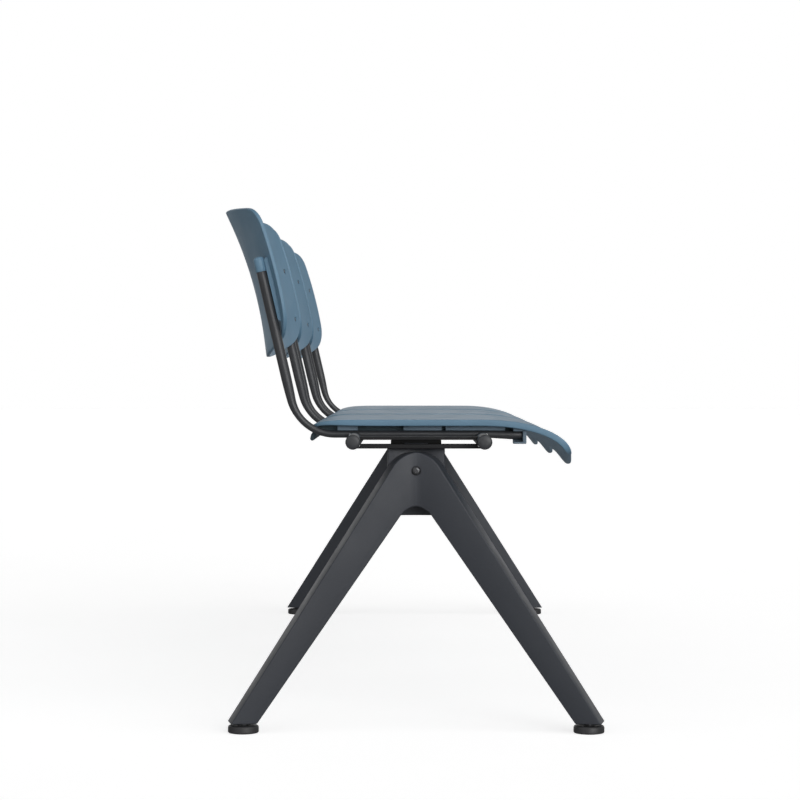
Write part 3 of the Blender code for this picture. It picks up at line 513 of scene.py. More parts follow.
def thin_ends(shell, count):
    """Draw the lower skin towards the upper one at both ends; the first points are the upper skin."""
    points = shell.data.vertices
    for index in range(count):
        upper, lower = points[index], points[index + count]
        distance = SEAT_ROWS[index // (SEAT_COLUMNS + 1)]
        behind = -REAR_TAPER[0] - walk(SEAT_LINE, distance).x
        rear = max(0.0, min(1.0, behind / (REAR_TAPER[1] - REAR_TAPER[0])))
        front = max(0.0, 1.0 - distance / FRONT_TAPER)
        lower.co = lower.co.lerp(upper.co, max(REAR_THINNING * rear, FRONT_THINNING * front))


surface_points = len(seat_shell.data.vertices)
modify(seat_shell, "SOLIDIFY", thickness=SEAT_WALL, offset=-1.0, use_even_offset=True)
thin_ends(seat_shell, surface_points)
soften(seat_shell, 0.0016, 2)
round_cage(seat_shell, 2)
print("seat shell:", len(seat_shell.data.polygons), "faces")

# %% [markdown]
# Under the shell sits a narrower core that stiffens it. Seen from the side it is one outline: traced point
# by point, filled, and extruded across the seat. The core is then sliced across, so that its upper side can
# sink with the shell's dip and stay hidden in the wall.

# %% Model the core under the seat
CORE_HALF = 0.200
CORE_SLICES = 10
CORE_UPPER = 0.4355


def sloping(line, depth, first, last, steps):
    """Points a depth under a line, between two shares of its length."""
    points = []
    for step in range(steps + 1):
        place = SEAT_RUN * (first + (last - first) * step / steps)
        here, ahead = walk(line, place), walk(line, place + 0.002)
        along = (ahead - here).normalized()
        points.append((here.x - along.y * depth, here.y + along.x * depth))
    return points


def core_outline():
    """The core's side outline as (forward, height): its lower side, then back under the shell."""
    front = sloping(SEAT_LINE, SEAT_WALL - 0.002, 0.22, 0.78, 16)
    rear = sloping(SEAT_LINE, 0.003, 0.86, 0.985, 8)
    lower = [(-0.1560, 0.4370), (-0.1510, 0.4340), (0.1050, 0.4340), (0.1470, 0.4310), (0.1560, 0.4330)]
    return lower + front + rear


def slice_up(piece, places, normal):
    """Cut a piece by planes through some places, and keep all of it."""
    edit_all(piece)
    for place in places:
        bpy.ops.mesh.select_all(action="SELECT")
        bpy.ops.mesh.bisect(plane_co=place, plane_no=normal)
    return close_edit(piece)


def sink_upper_side(core):
    for point in core.data.vertices:
        if point.co.z > CORE_UPPER:
            point.co.z -= FRONT_DIP * bow_share(point.co.x, LEG_Y - point.co.y)


outline = [at(-CORE_HALF, forward, height) for forward, height in core_outline()]
seat_core = trace("seat_core", outline, Vector((2 * CORE_HALF, 0, 0)))
slices = [(CORE_HALF * (2 * step / CORE_SLICES - 1), 0, 0) for step in range(1, CORE_SLICES)]
slice_up(seat_core, slices, (1, 0, 0))
sink_upper_side(seat_core)
soften(seat_core, 0.0008)
print("seat core:", len(seat_core.data.polygons), "faces")

# %% [markdown]
# On each side the seat rests on its rod through three pads, and the rod's front end sits in a socket with a
# floor and an end wall, open to the outside. Pads and socket are boxes with soft edges. A round cutter the
# size of the rod then gives them the saddle that the rod lies in.

# %% Model the pads and the socket
ROD_X = 0.210
ROD_HEIGHT = 0.4305
ROD_NECK = 0.0055
FIT_GAP = 0.0003
PAD_SPANS = ((-0.119, -0.088), (-0.019, 0.039), (0.045, 0.135))
PAD_HALF = 0.006
PAD_HEIGHTS = (0.4362, 0.4445)
SOCKET_HALF = 0.012
SOCKET_REAR = 0.1473
SOCKET_FRONT = 0.1673
SOCKET_INNER = 0.1665
SOCKET_FLOOR = 0.4165


def soft_box(name, x_span, forward_span, height_span, edge):
    low = at(x_span[0], forward_span[1], height_span[0])
    high = at(x_span[1], forward_span[0], height_span[1])
    return soften(start_box(name, low, high), edge)


def rod_cutter(radius, front, rear):
    """A round bar along the rod's run under the seat."""
    bar = start_round("rod_cutter", ((radius, 0.0), (radius, front - rear)), 32)
    place = Matrix.Translation(at(ROD_X, front, ROD_HEIGHT))
    bar.data.transform(place @ Matrix.Rotation(-math.pi / 2, 4, "X"))
    return bar


def side_mounts():
    """The pads and the socket over the right-hand rod."""
    across = (ROD_X - PAD_HALF, ROD_X + PAD_HALF)
    pads = [soft_box("pad", across, span, PAD_HEIGHTS, 0.0008) for span in PAD_SPANS]
    wide = (ROD_X - SOCKET_HALF, ROD_X + SOCKET_HALF)
    narrow = (wide[0], ROD_X - 0.0072)
    inside = (SOCKET_REAR, SOCKET_INNER)
    floor = soft_box("socket_floor", wide, (SOCKET_REAR, SOCKET_FRONT), (0.4160, 0.4188), 0.0010)
    wall = soft_box("socket_wall", wide, (0.1618, SOCKET_FRONT), (SOCKET_FLOOR, 0.4400), 0.0012)
    cheek = soft_box("socket_cheek", narrow, inside, (SOCKET_FLOOR, 0.4420), 0.0010)
    roof = soft_box("socket_roof", wide, inside, (0.4350, 0.4440), 0.0010)
    pads = cut(join("pads", *pads, roof), rod_cutter(ROD_NECK + FIT_GAP, 0.1615, -0.130))
    return join("side_mounts", pads, floor, wall, cheek)


mounts_right = side_mounts()
mounts_left = copy_of(mounts_right, "mounts_left", MIRROR)
seat_mounts = smooth(join("seat_mounts", mounts_right, mounts_left))
print("three pads and a socket on each side")

# %% [markdown]
# At the rear a rib with a round tip hangs under the curl and stiffens it. It is traced from the side, as
# the core was. The seat's pieces are then copied to the three chairs: the shell, the mounts, and the core
# with its rib.

# %% Finish the underside
REAR_RIB_HALF = 0.180


def rear_rib():
    tip = arc((-0.1586, 0.4230), 0.0033, -20, -180, 8)
    points = [(-0.1490, 0.4360), (-0.1520, 0.4310)] + tip + [(-0.1605, 0.4290), (-0.1560, 0.4360)]
    outline = [at(-REAR_RIB_HALF, forward, height) for forward, height in points]
    return soften(trace("rear_rib", outline, Vector((2 * REAR_RIB_HALF, 0, 0))), 0.0005)


ribbed_core = smooth(join("ribbed_core", seat_core, rear_rib()))
smooth(seat_shell)
# The mounts and the core take darker looks, which paint the shade under the shell.
seat_pieces = {"shell": (seat_shell, "blue_plastic"), "mounts": (seat_mounts, "pad_painted_shade"),
               "core": (ribbed_core, "core_painted_shade")}
for chair in CHAIRS:
    for name, (pattern, look) in seat_pieces.items():
        copy = copy_of(pattern, f"{name}_{chair}", shift(CHAIR_X[chair]))
        hand_over(copy, f"seat_{chair}", "blue_plastic", look=look)
drop(seat_shell, seat_mounts, ribbed_core)
print("three seats")

# %% [markdown]
# ## Rods
# Each side rod is a steel bar that runs under the seat, turns up behind it and carries the back. A ring is
# extruded along the straight run, spun round the bend and extruded up the lean. The real rod is thinner
# below the bend than above it, so the rings are then resized about the middle line.

# %% The rod's path
ROD_FRONT = 0.161
ROD_BEND = -0.1230
ROD_BEND_RADIUS = 0.068
ROD_LEAN = math.radians(13.1)
ROD_TOP = 0.677
ROD_UPPER = 0.0078
BEND_TURN = math.pi / 2 - ROD_LEAN
UPWARD = Vector((0, math.sin(ROD_LEAN), math.cos(ROD_LEAN)))
BEND_MIDDLE = at(0, ROD_BEND, ROD_HEIGHT + ROD_BEND_RADIUS)
BEND_END = BEND_MIDDLE + ROD_BEND_RADIUS * Vector((0, math.sin(BEND_TURN), -math.cos(BEND_TURN)))


def rod_at(height):
    """The middle of the upright rod at a height."""
    return BEND_END + UPWARD * ((height - BEND_END.z) / UPWARD.z)


print("the rod's top is at", [round(value, 3) for value in rod_at(ROD_TOP)])

# %% [markdown]
# The taper starts where the bend has turned 54 degrees and is complete a little way up the straight. An
# even change over that stretch looks as drawn steel does.

# %% Model the rod
TAPER_TURN = math.radians(54)
TAPER_RISE = 0.025
FRONT_SWELL = 0.108
NOSE_START = 0.144
ROD_NOSE = 0.00665
ROD_STEPS = 12


def swell_front(point):
    """Thicken the rod's front end downward, so that its upper line stays straight."""
    share = max(0.0, min(1.0, (LEG_Y - point.y - FRONT_SWELL) / (NOSE_START - FRONT_SWELL)))
    radius = ROD_NECK + (ROD_NOSE - ROD_NECK) * share
    top = Vector((0, point.y, ROD_HEIGHT + ROD_NECK))
    return top + (point - top) * (radius / ROD_NECK)


def swell(point):
    """Move a point of a rod ring out to the rod's radius at its place."""
    if point.y < BEND_MIDDLE.y:
        return swell_front(point)
    arm = point - BEND_MIDDLE
    turn = min(math.atan2(arm.y, -arm.z), BEND_TURN)
    rise = max(0.0, (point - BEND_END).dot(UPWARD))
    if rise > 0:
        turn = BEND_TURN
    centre = BEND_MIDDLE + ROD_BEND_RADIUS * Vector((0, math.sin(turn), -math.cos(turn))) + UPWARD * rise
    tapered = max(0.0, (turn - TAPER_TURN) * ROD_BEND_RADIUS) + rise
    share = min(1.0, tapered / ((BEND_TURN - TAPER_TURN) * ROD_BEND_RADIUS + TAPER_RISE))
    radius = ROD_NECK + (ROD_UPPER - ROD_NECK) * share
    return centre + (point - centre) * (radius / ROD_NECK)


def start_rod():
    bpy.ops.object.select_all(action="DESELECT")
    bpy.ops.mesh.primitive_circle_add(vertices=32, radius=ROD_NECK, location=at(0, ROD_FRONT, ROD_HEIGHT),
                                      rotation=(math.pi / 2, 0, 0))
    rod = bpy.context.object
    bpy.ops.object.transform_apply(location=True, rotation=True, scale=True)
    edit_all(rod)
    for start, end in ((ROD_FRONT, NOSE_START), (NOSE_START, FRONT_SWELL), (FRONT_SWELL, ROD_BEND)):
        bpy.ops.mesh.extrude_region_move(TRANSFORM_OT_translate={"value": (0, start - end, 0)})
    bpy.ops.mesh.spin(steps=24, angle=BEND_TURN, center=BEND_MIDDLE, axis=(-1, 0, 0))
    rise = (rod_at(ROD_TOP) - BEND_END) / ROD_STEPS
    for step in range(ROD_STEPS):
        bpy.ops.mesh.extrude_region_move(TRANSFORM_OT_translate={"value": rise})
    bpy.ops.mesh.select_all(action="SELECT")
    bpy.ops.mesh.fill_holes(sides=0)
    return close_edit(rod)


rod = start_rod()
for point in rod.data.vertices:
    point.co = swell(point.co.copy())
print("rod:", len(rod.data.polygons), "faces")

# %% [markdown]
# Where the rod crosses the two beams it is notched and welded down on them. A cutter a little wider than
# the beam takes the notch out. The front end gets a small chamfer, as a sheared and deburred bar has.

# %% Notch and copy the rods
BEAM_RADIUS = 0.011
BEAM_ROOM = BEAM_RADIUS + FIT_GAP
BEAM_HEIGHT = 0.4223
BEAM_FORWARD = {"front": 0.1005, "rear": -0.0925}
TURN_TO_X = Matrix.Rotation(math.pi / 2, 4, "Y")


def along_row(piece, x, forward, height):
    """Turn a round piece from Z to X and set its base at a place."""
    piece.data.transform(Matrix.Translation(at(x, forward, height)) @ TURN_TO_X)
    return piece


soften(rod, 0.0008)
for forward in BEAM_FORWARD.values():
    notch = start_round("notch", ((BEAM_ROOM, 0.0), (BEAM_ROOM, 0.1)), 64)
    cut(rod, along_row(notch, -0.05, forward, BEAM_HEIGHT))
smooth(rod)
for chair in CHAIRS:
    for side, sign in SIDES.items():
        copy = copy_of(rod, f"side_rod_{chair}_{side}", shift(CHAIR_X[chair] + sign * ROD_X))
        hand_over(copy, f"rod_{chair}_{side}", "frame_paint")
drop(rod)
print("six rods")

# %% [markdown]
# ## Backrests
# A backrest is a thin shell that wraps round the sitter and also bows from top to bottom. As with the seat,
# a grid is laid over the surface: columns across, closer by the sides where the corners turn, and rows
# upward. The grid is the rear face and the wall grows forward from it.

# %% The backrest's surface
BACK_HALF = 0.229
BACK_WALL = 0.006
BACK_TOP = 0.7777
TOP_DROP = 0.0060
TOP_CORNER = 0.022
BACK_BOTTOM = 0.5482
BOTTOM_RISE = 0.034
BOTTOM_CORNER = 0.035
BACK_WRAP = 0.563
WRAP_RUN = 1.15
WRAP_CURVE = 0.416
BACK_BOW = 0.630
BACK_LEAN = math.radians(14.9)
BACK_MIDDLE = (-0.2575, 0.656)
BOW_CENTRE = (BACK_MIDDLE[0] - BACK_BOW * math.cos(BACK_LEAN),
              BACK_MIDDLE[1] - BACK_BOW * math.sin(BACK_LEAN))


def back_point(x, height):
    """A point of the rear face: a bow in side view, swept forward towards the sides."""
    bow = BOW_CENTRE[0] + math.sqrt(BACK_BOW ** 2 - (height - BOW_CENTRE[1]) ** 2)
    rise = height - BACK_MIDDLE[1]
    growth = 1 + rise / WRAP_RUN + (rise / WRAP_CURVE) ** 2
    wrap = growth * (BACK_WRAP - math.sqrt(BACK_WRAP ** 2 - x ** 2))
    return at(x, bow + wrap, height)


def corner_drop(x, radius):
    past = abs(x) - (BACK_HALF - radius)
    return radius - math.sqrt(max(0.0, radius ** 2 - max(0.0, past) ** 2))


def back_edges(x):
    """The lower and upper edge of the backrest at a place across it."""
    share = (x / BACK_HALF) ** 2
    low = BACK_BOTTOM + BOTTOM_RISE * share + corner_drop(x, BOTTOM_CORNER)
    high = BACK_TOP - TOP_DROP * share - corner_drop(x, TOP_CORNER)
    return low, high


print("the middle of the back stands at", [round(value, 3) for value in back_point(0, BACK_MIDDLE[1])])

# %% [markdown]
# The columns are spaced by a sine, so that they crowd towards the sides. After the wall and the bevel, two
# levels of subdivision round the coarse cage into one even curve.

# %% Model the backrest shell
BACK_COLUMNS = 16
BACK_ROWS = 8


def back_place(column, row):
    x = BACK_HALF * math.sin(math.pi / 2 * (2 * column / BACK_COLUMNS - 1))
    low, high = back_edges(x)
    return back_point(x, low + (high - low) * row / BACK_ROWS)


back_grid = start_grid("back_shell", BACK_COLUMNS, BACK_ROWS)
back_shell = lay_grid(back_grid, BACK_COLUMNS, BACK_ROWS, back_place)
modify(back_shell, "SOLIDIFY", thickness=BACK_WALL, offset=1.0, use_even_offset=True)
soften(back_shell, 0.0012, 2)
round_cage(back_shell, 2)
print("back shell:", len(back_shell.data.polygons), "faces")

# %% [markdown]
# Behind each side a rib stands between the rod and the shell, with round ends, and a blind socket takes the
# rod's top. Both are set out in a leaning frame on the rod: its Y runs up the rod and its Z points forward.
# The rib's far edge is then moved into the shell's wall, so that no gap shows along the curve.

# %% Model the rib and the socket
RIB_SPAN = (0.600, 0.696)
RIB_HALF = 0.005
RIB_ROUND = 0.004
RIB_START = ROD_UPPER + FIT_GAP
RIB_REACH = 0.0145
RIB_STEPS = 10
RIB_BITE = 0.002


def lean_frame(height):
    """A frame on the right-hand rod: Y up the rod, Z forward and square to it."""
    place = Matrix.Translation(rod_at(height) + Vector((ROD_X, 0, 0)))
    return place @ Matrix.Rotation(math.pi / 2 - ROD_LEAN, 4, "X")


def back_rib():
    half = (RIB_SPAN[1] - RIB_SPAN[0]) / 2 / math.cos(ROD_LEAN)
    low = arc((-half + RIB_ROUND, RIB_START + RIB_ROUND), RIB_ROUND, 180, 270, 6)
    high = arc((half - RIB_ROUND, RIB_START + RIB_ROUND), RIB_ROUND, 270, 360, 6)
    far = [(half - 2 * half * step / RIB_STEPS, RIB_REACH) for step in range(RIB_STEPS + 1)]
    outline = [Vector((-RIB_HALF, along, out)) for along, out in low + high + far]
    rib = trace("rib", outline, Vector((2 * RIB_HALF, 0, 0)))
    inner = [point.index for point in rib.data.vertices if point.co.z > RIB_REACH - WELD]
    rib.data.transform(lean_frame(sum(RIB_SPAN) / 2))
    for index in inner:
        point = rib.data.vertices[index]
        point.co.y = back_point(point.co.x, point.co.z).y - RIB_BITE
    return soften(rib, 0.0008)


def back_socket():
    side = ((0.0080, 0.0), (0.0084, 0.0006), (0.0084, 0.0175))
    dome = ((0.0077, 0.0202), (0.0060, 0.0219), (0.0030, 0.0228))
    socket = start_round("socket", side + dome, 32)
    place = Matrix.Translation(rod_at(ROD_TOP) + Vector((ROD_X, 0, 0)))
    socket.data.transform(place @ Matrix.Rotation(-ROD_LEAN, 4, "X"))
    return socket


rib_right = join("rib_right", back_rib(), back_socket())
rib_left = copy_of(rib_right, "rib_left", MIRROR)
print("a rib and a socket behind each side")

# %% [markdown]
# Two screws on each side hold the back to its rod. Their heads lie in round recesses in the front face. The
# recess is cut with a cylinder along the screw, and the screw's head gets a six-sided drive.

# %% Sink the screws
SCREW_HEIGHTS = {"upper": 0.690, "lower": 0.6095}
SCREW_HEAD = 0.004
SCREW_ROOM = SCREW_HEAD + 0.0004
SCREW_SINK = 0.002


def screw_frame(height):
    """The floor of a screw's recess on the right-hand side, with Z out of the face."""
    gap = rod_at(height).y - back_point(ROD_X, height).y
    reach = gap * math.cos(ROD_LEAN) + BACK_WALL - SCREW_SINK
    return lean_frame(height) @ Matrix.Translation((0, 0, reach))


def hex_cutter(radius, floor):
    return start_round("hex", ((radius, floor), (radius, floor + 0.02)), 6)


def screw_pattern():
    shank = ((0.0016, -0.006), (0.0016, 0.0002))
    head = ((SCREW_HEAD, 0.0003), (SCREW_HEAD, 0.0012), (0.0036, 0.0018), (0.0026, 0.0021))
    return smooth(cut(start_round("screw", shank + head, 32), hex_cutter(0.0014, 0.0008)))


for height in SCREW_HEIGHTS.values():
    for move in (Matrix.Identity(4), MIRROR):
        recess = start_round("recess", ((SCREW_ROOM, 0.0), (SCREW_ROOM, 0.02)), 40)
        recess.data.transform(move @ screw_frame(height))
        cut(back_shell, recess)
screw = screw_pattern()
print("screw recesses cut; screw:", len(screw.data.polygons), "faces")

# %% [markdown]
# The back's pieces are joined as one moulding and copied to the three chairs. The screws go with them, one
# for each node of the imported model.

# %% Set the backrests and screws
back_pattern = smooth(join("back_pattern", back_shell, rib_right, rib_left))
for chair in CHAIRS:
    back = copy_of(back_pattern, f"back_{chair}", shift(CHAIR_X[chair]))
    hand_over(back, f"backrest_{chair}", "blue_plastic")
    for side, sign in SIDES.items():
        for level, height in SCREW_HEIGHTS.items():
            move = shift(CHAIR_X[chair] + (sign - 1) * ROD_X) @ screw_frame(height)
            copy = copy_of(screw, f"face_screw_{chair}_{side}_{level}", move)
            hand_over(copy, f"back_screw_{chair}_{side}_{level}", "dark_steel")
drop(back_pattern)
print("three backrests and twelve screws")

# %% [markdown]
# One more screw on each side goes up through the rod into the seat's middle pad. Only its head shows from
# below, so the same screw is turned upside down and set against the rod.

# %% Set the seat screws
SEAT_SCREW_FORWARD = 0.010

for chair in CHAIRS:
    for side, sign in SIDES.items():
        place = at(CHAIR_X[chair] + sign * ROD_X, SEAT_SCREW_FORWARD, ROD_HEIGHT - ROD_NECK)
        move = Matrix.Translation(place) @ Matrix.Rotation(math.pi, 4, "X")
        copy = copy_of(screw, f"under_screw_{chair}_{side}", move)
        hand_over(copy, f"seat_screw_{chair}_{side}", "dark_steel")
drop(screw)
print("six seat screws")

# %% [markdown]
# ## Beams
# Two round tubes carry the whole row. A tube is a long ring with a bore inset into each end, and a domed
# cap closes each bore. The bore is made by insetting the end face and extruding it inward.

# %% Model the beams and caps
BEAM_HALF = 0.873
BEAM_BORE = 0.0092
BORE_DEPTH = 0.04


def beam_tube():
    tube = start_round("tube", ((BEAM_RADIUS, 0.0), (BEAM_RADIUS, 2 * BEAM_HALF)), 64)
    for inward in (1, -1):
        pick_faces(tube, lambda centre, normal: normal.z * inward < -0.9 and centre.xy.length < 0.001)
        bpy.ops.mesh.inset(thickness=BEAM_RADIUS - BEAM_BORE)
        bpy.ops.mesh.extrude_region_move(TRANSFORM_OT_translate={"value": (0, 0, BORE_DEPTH * inward)})
        close_edit(tube)
    return smooth(soften(tube, 0.0004))


def beam_cap():
    plug = ((0.0080, -0.012), (0.0089, -0.0112), (0.0089, 0.0), (0.0107, 0.0), (BEAM_RADIUS, 0.0004))
    dome = ((BEAM_RADIUS, 0.0009), (0.0105, 0.0022), (0.0090, 0.0033), (0.0064, 0.0039), (0.0033, 0.0041))
    return smooth(start_round("cap", plug + dome, 48))


tube = beam_tube()
cap = beam_cap()
for end, forward in BEAM_FORWARD.items():
    beam = along_row(copy_of(tube, f"tube_{end}", Matrix.Identity(4)), -BEAM_HALF, forward, BEAM_HEIGHT)
    hand_over(beam, f"beam_{end}", "frame_paint")
    for side, sign in SIDES.items():
        place = Matrix.Translation(at(sign * (BEAM_HALF + FIT_GAP), forward, BEAM_HEIGHT))
        copy = copy_of(cap, f"tube_cap_{end}_{side}", place @ Matrix.Rotation(sign * math.pi / 2, 4, "Y"))
        hand_over(copy, f"beam_cap_{end}_{side}", "frame_paint")
drop(tube, cap)
print("two beams with four caps")

# %% [markdown]
# ## Legs
# A leg is a thick plate cut as an A and folded along its middle line, so that the feet splay outward. It is
# easiest to draw it flat: the outline is traced unfolded, extruded, cut along a narrow strip by bisect
# planes, softened at the edges, and only then folded by moving each point round the bend.

# %% The leg's outline
LEG_X = 0.845
LEG_FOLD = math.radians(11.3)
FOLD_HALF = 0.014
FOLD_RADIUS = FOLD_HALF / LEG_FOLD
LEG_WALL = 0.040
LEG_FOOT = 0.0148
LEG_TOP = 0.407
HEAD_RADIUS = 0.0455
FOOT_OUTER = 0.2717 / math.cos(LEG_FOLD)
FOOT_INNER = 0.2341 / math.cos(LEG_FOLD)
ARCH_HALF = 0.0229 / math.cos(LEG_FOLD)
ARCH_HEIGHT = 0.319
ARCH_RISE = 0.009


def leg_outline():
    """The unfolded A as (forward, height): outer lines into a round head, inner lines into a low arch."""
    centre = (0.0, LEG_TOP - HEAD_RADIUS)
    drop_height = centre[1] - LEG_FOOT
    tilt = math.acos(HEAD_RADIUS / math.hypot(FOOT_OUTER, drop_height)) - math.atan2(drop_height, FOOT_OUTER)
    tilt = math.degrees(tilt)
    head = arc(centre, HEAD_RADIUS, tilt, 180 - tilt, 40)
    radius = (ARCH_HALF ** 2 + ARCH_RISE ** 2) / (2 * ARCH_RISE)
    turn = math.degrees(math.asin(ARCH_HALF / radius))
    arch = arc((0.0, ARCH_HEIGHT + ARCH_RISE - radius), radius, 90 + turn, 90 - turn, 24)
    feet = [(FOOT_INNER, LEG_FOOT), (FOOT_OUTER, LEG_FOOT)]
    return feet + head + [(-forward, height) for forward, height in feet[::-1]] + arch


print("leg outline:", len(leg_outline()), "points")

# %% [markdown]
# The fold is a bend of small radius, 11 degrees to each side. Points within the strip go round it and
# points beyond it go straight on. The depth of the plate runs along X, outward from the row.

# %% Fold a plate
FOLD_STEPS = 6


def fold(piece, sign):
    """Fold a flat plate about the legs' middle line and set it at one end of the row."""
    for point in piece.data.vertices:
        depth, across = point.co.x, -point.co.y
        turn = max(-LEG_FOLD, min(LEG_FOLD, across / FOLD_RADIUS))
        rest = across - turn * FOLD_RADIUS
        out = FOLD_RADIUS * (1 - math.cos(turn)) + rest * math.sin(turn) + depth * math.cos(turn)
        forward = FOLD_RADIUS * math.sin(turn) + rest * math.cos(turn) - depth * math.sin(turn)
        point.co = at(sign * (LEG_X + out), forward, point.co.z)
    if sign < 0:
        piece.data.flip_normals()
    return piece


def flat_plate(name, outline, wall, depth):
    """A flat plate about X = depth, from an outline of (forward, height), sliced where it will bend."""
    points = [Vector((depth - wall / 2, -forward, height)) for forward, height in outline]
    strip = [(0, step * FOLD_HALF / FOLD_STEPS, 0) for step in range(-FOLD_STEPS, FOLD_STEPS + 1)]
    return slice_up(trace(name, points, Vector((wall, 0, 0))), strip, (0, 1, 0))


leg_flat = soften(flat_plate("leg_flat", leg_outline(), LEG_WALL, 0.0), 0.0040, 4)
print("flat leg:", len(leg_flat.data.polygons), "faces")

# %% [markdown]
# One bolt holds each leg. Its head lies in a round recess in the middle of the leg's head, which is cut
# after the fold, square to the row.

# %% Set the legs
BOLT_HEIGHT = 0.380
RECESS_RADIUS = 0.0072
RECESS_FLOOR = LEG_X + LEG_WALL / 2 - 0.0025


def outward(x, height, sign):
    """A frame whose Z points out of the row's end on the legs' middle line."""
    return Matrix.Translation(at(sign * x, 0.0, height)) @ Matrix.Rotation(sign * math.pi / 2, 4, "Y")


for side, sign in SIDES.items():
    leg = fold(copy_of(leg_flat, f"leg_plate_{side}", Matrix.Identity(4)), sign)
    recess = start_round("recess", ((RECESS_RADIUS, 0.0), (RECESS_RADIUS, 0.02)), 48)
    recess.data.transform(outward(RECESS_FLOOR, BOLT_HEIGHT, sign))
    hand_over(smooth(cut(leg, recess)), f"leg_{side}", "leg_paint")
drop(leg_flat)
print("two legs")

# %% [markdown]
# The bolt has a button head with a hexagon socket, and its nut sits behind the bracket. The bracket is a
# folded plate that lies against the leg's inner face. It has the leg's grey coat.

# %% Set the brackets, bolts and nuts
BRACKET_HALF = 0.0757 / 2
BRACKET_SPAN = (0.3128, 0.4117)
BRACKET_WALL = 0.008
BRACKET_DEPTH = -0.0243
NUT_SEAT = 0.8161
NUT_HEIGHT = 0.0065


def bolt_pattern():
    shank = ((0.0036, -0.052), (0.0040, -0.0515), (0.0040, 0.0))
    head = ((0.0056, 0.0), (0.0058, 0.0003), (0.0058, 0.0026), (0.0053, 0.0035), (0.0043, 0.0040))
    return smooth(cut(start_round("bolt", shank + head, 40), hex_cutter(0.0026, 0.0018)))


def nut_pattern():
    nut = start_round("nut", ((0.0070, 0.0), (0.0075, 0.0005), (0.0075, 0.0060), (0.0070, NUT_HEIGHT)), 6)
    return smooth(cut(nut, start_round("bore", ((0.0042, -0.01), (0.0042, 0.02)), 32)))


low, high = BRACKET_SPAN
corners = [(BRACKET_HALF, low), (BRACKET_HALF, high), (-BRACKET_HALF, high), (-BRACKET_HALF, low)]
bracket_flat = soften(flat_plate("bracket_flat", corners, BRACKET_WALL, BRACKET_DEPTH), 0.0008)
bolt = bolt_pattern()
nut = nut_pattern()
for side, sign in SIDES.items():
    bracket = fold(copy_of(bracket_flat, f"bracket_{side}", Matrix.Identity(4)), sign)
    hand_over(smooth(bracket), f"leg_bracket_{side}", "frame_paint", look="leg_paint")
    move = outward(RECESS_FLOOR + FIT_GAP, BOLT_HEIGHT, sign)
    hand_over(copy_of(bolt, f"bolt_{side}", move), f"leg_bolt_{side}", "dark_steel")
    move = outward(NUT_SEAT - NUT_HEIGHT, BOLT_HEIGHT, sign)
    hand_over(copy_of(nut, f"nut_{side}", move), f"leg_nut_{side}", "dark_steel")
drop(bracket_flat, bolt, nut)
print("brackets, bolts and nuts on both ends")

# %% [markdown]
# At each leg two flat bars join the beams, with a spacer between them. Their ends are cut round to fit the
# beams. Their coat is darker and duller than the rods', and the extra darkness is painted shade under the
# seats. The spacer is a soft-edged near-black block with a shallow relief under its middle, and its near
# black is painted shade too.

# %% Set the bars and spacers
BAR_X = 0.825
BAR_HALF_DEPTH = 0.017
BAR_HEIGHTS = {"lower": (0.4120, 0.4183), "upper": (0.4248, 0.4293)}
SPACER_HALF = 0.03725
SPACER_HEIGHTS = (0.4186, 0.4245)
RELIEF_HALF = 0.0175
RELIEF_HEIGHTS = (0.4170, 0.4205)


def bar_pattern(level):
    across = (-BAR_HALF_DEPTH, BAR_HALF_DEPTH)
    bar = soft_box("bar", across, (BEAM_FORWARD["rear"], BEAM_FORWARD["front"]), BAR_HEIGHTS[level], 0.0006)
    for forward in BEAM_FORWARD.values():
        beam = start_round("beam", ((BEAM_ROOM, 0.0), (BEAM_ROOM, 0.2)), 64)
        cut(bar, along_row(beam, -0.1, forward, BEAM_HEIGHT))
    return smooth(bar)


def spacer_pattern():
    across = (-BAR_HALF_DEPTH, BAR_HALF_DEPTH)
    block = soft_box("spacer", across, (-SPACER_HALF, SPACER_HALF), SPACER_HEIGHTS, 0.0006)
    relief = soft_box("relief", (-0.05, 0.05), (-RELIEF_HALF, RELIEF_HALF), RELIEF_HEIGHTS, 0.0003)
    return smooth(cut(block, relief))


bars = {level: bar_pattern(level) for level in BAR_HEIGHTS}
spacer = spacer_pattern()
# The bars and spacers take near-black looks, which paint the shade under the seats.
for side, sign in SIDES.items():
    for level, bar in bars.items():
        copy = copy_of(bar, f"flat_bar_{level}_{side}", shift(sign * BAR_X))
        hand_over(copy, f"{level}_bar_{side}", "frame_paint", look="bar_painted_shade")
    copy = copy_of(spacer, f"spacer_{side}", shift(sign * BAR_X))
    hand_over(copy, f"bar_spacer_{side}", "frame_paint", look="spacer_painted_shade")
drop(spacer, *bars.values())
print("bars and spacers on both ends")

# %% [markdown]
# ## Foot glides
# Each foot stands on a black plastic disc with a rolled edge, moulded on a threaded stud that screws up
# into the leg. Both are turned from one profile each. They ride on their own body, because they move
# together when the foot is levelled.

# %% Set the glides
def pad_pattern():
    side = ((0.0190, 0.0), (0.0212, 0.0005), (0.0225, 0.0018), (0.0225, 0.0085))
    top = ((0.0220, 0.0100), (0.0208, 0.0111), (0.0190, 0.0115), (0.0104, 0.0115), (0.0098, 0.0111))
    return smooth(start_round("pad", side + top, 64))


def stud_pattern():
    collar = ((0.0050, 0.0114), (0.0085, 0.0118), (0.0085, 0.0145))
    thread = ((0.0050, 0.0145), (0.0050, 0.0350), (0.0040, 0.0360))
    return smooth(start_round("stud", collar + thread, 32))


pad = pad_pattern()
stud = stud_pattern()
for end in ENDS:
    for side in SIDES:
        body = f"glide_{end}_{side}"
        spot = middle(f"glide_pad_{end}_{side}")
        move = shift(spot.x, spot.y)
        disc = copy_of(pad, f"disc_{end}_{side}", move)
        hand_over(disc, f"glide_pad_{end}_{side}", "glide_plastic", body)
        screw = copy_of(stud, f"screw_{end}_{side}", move)
        hand_over(screw, f"glide_stud_{end}_{side}", "dark_steel", body)
drop(pad, stud)
print("four glides")

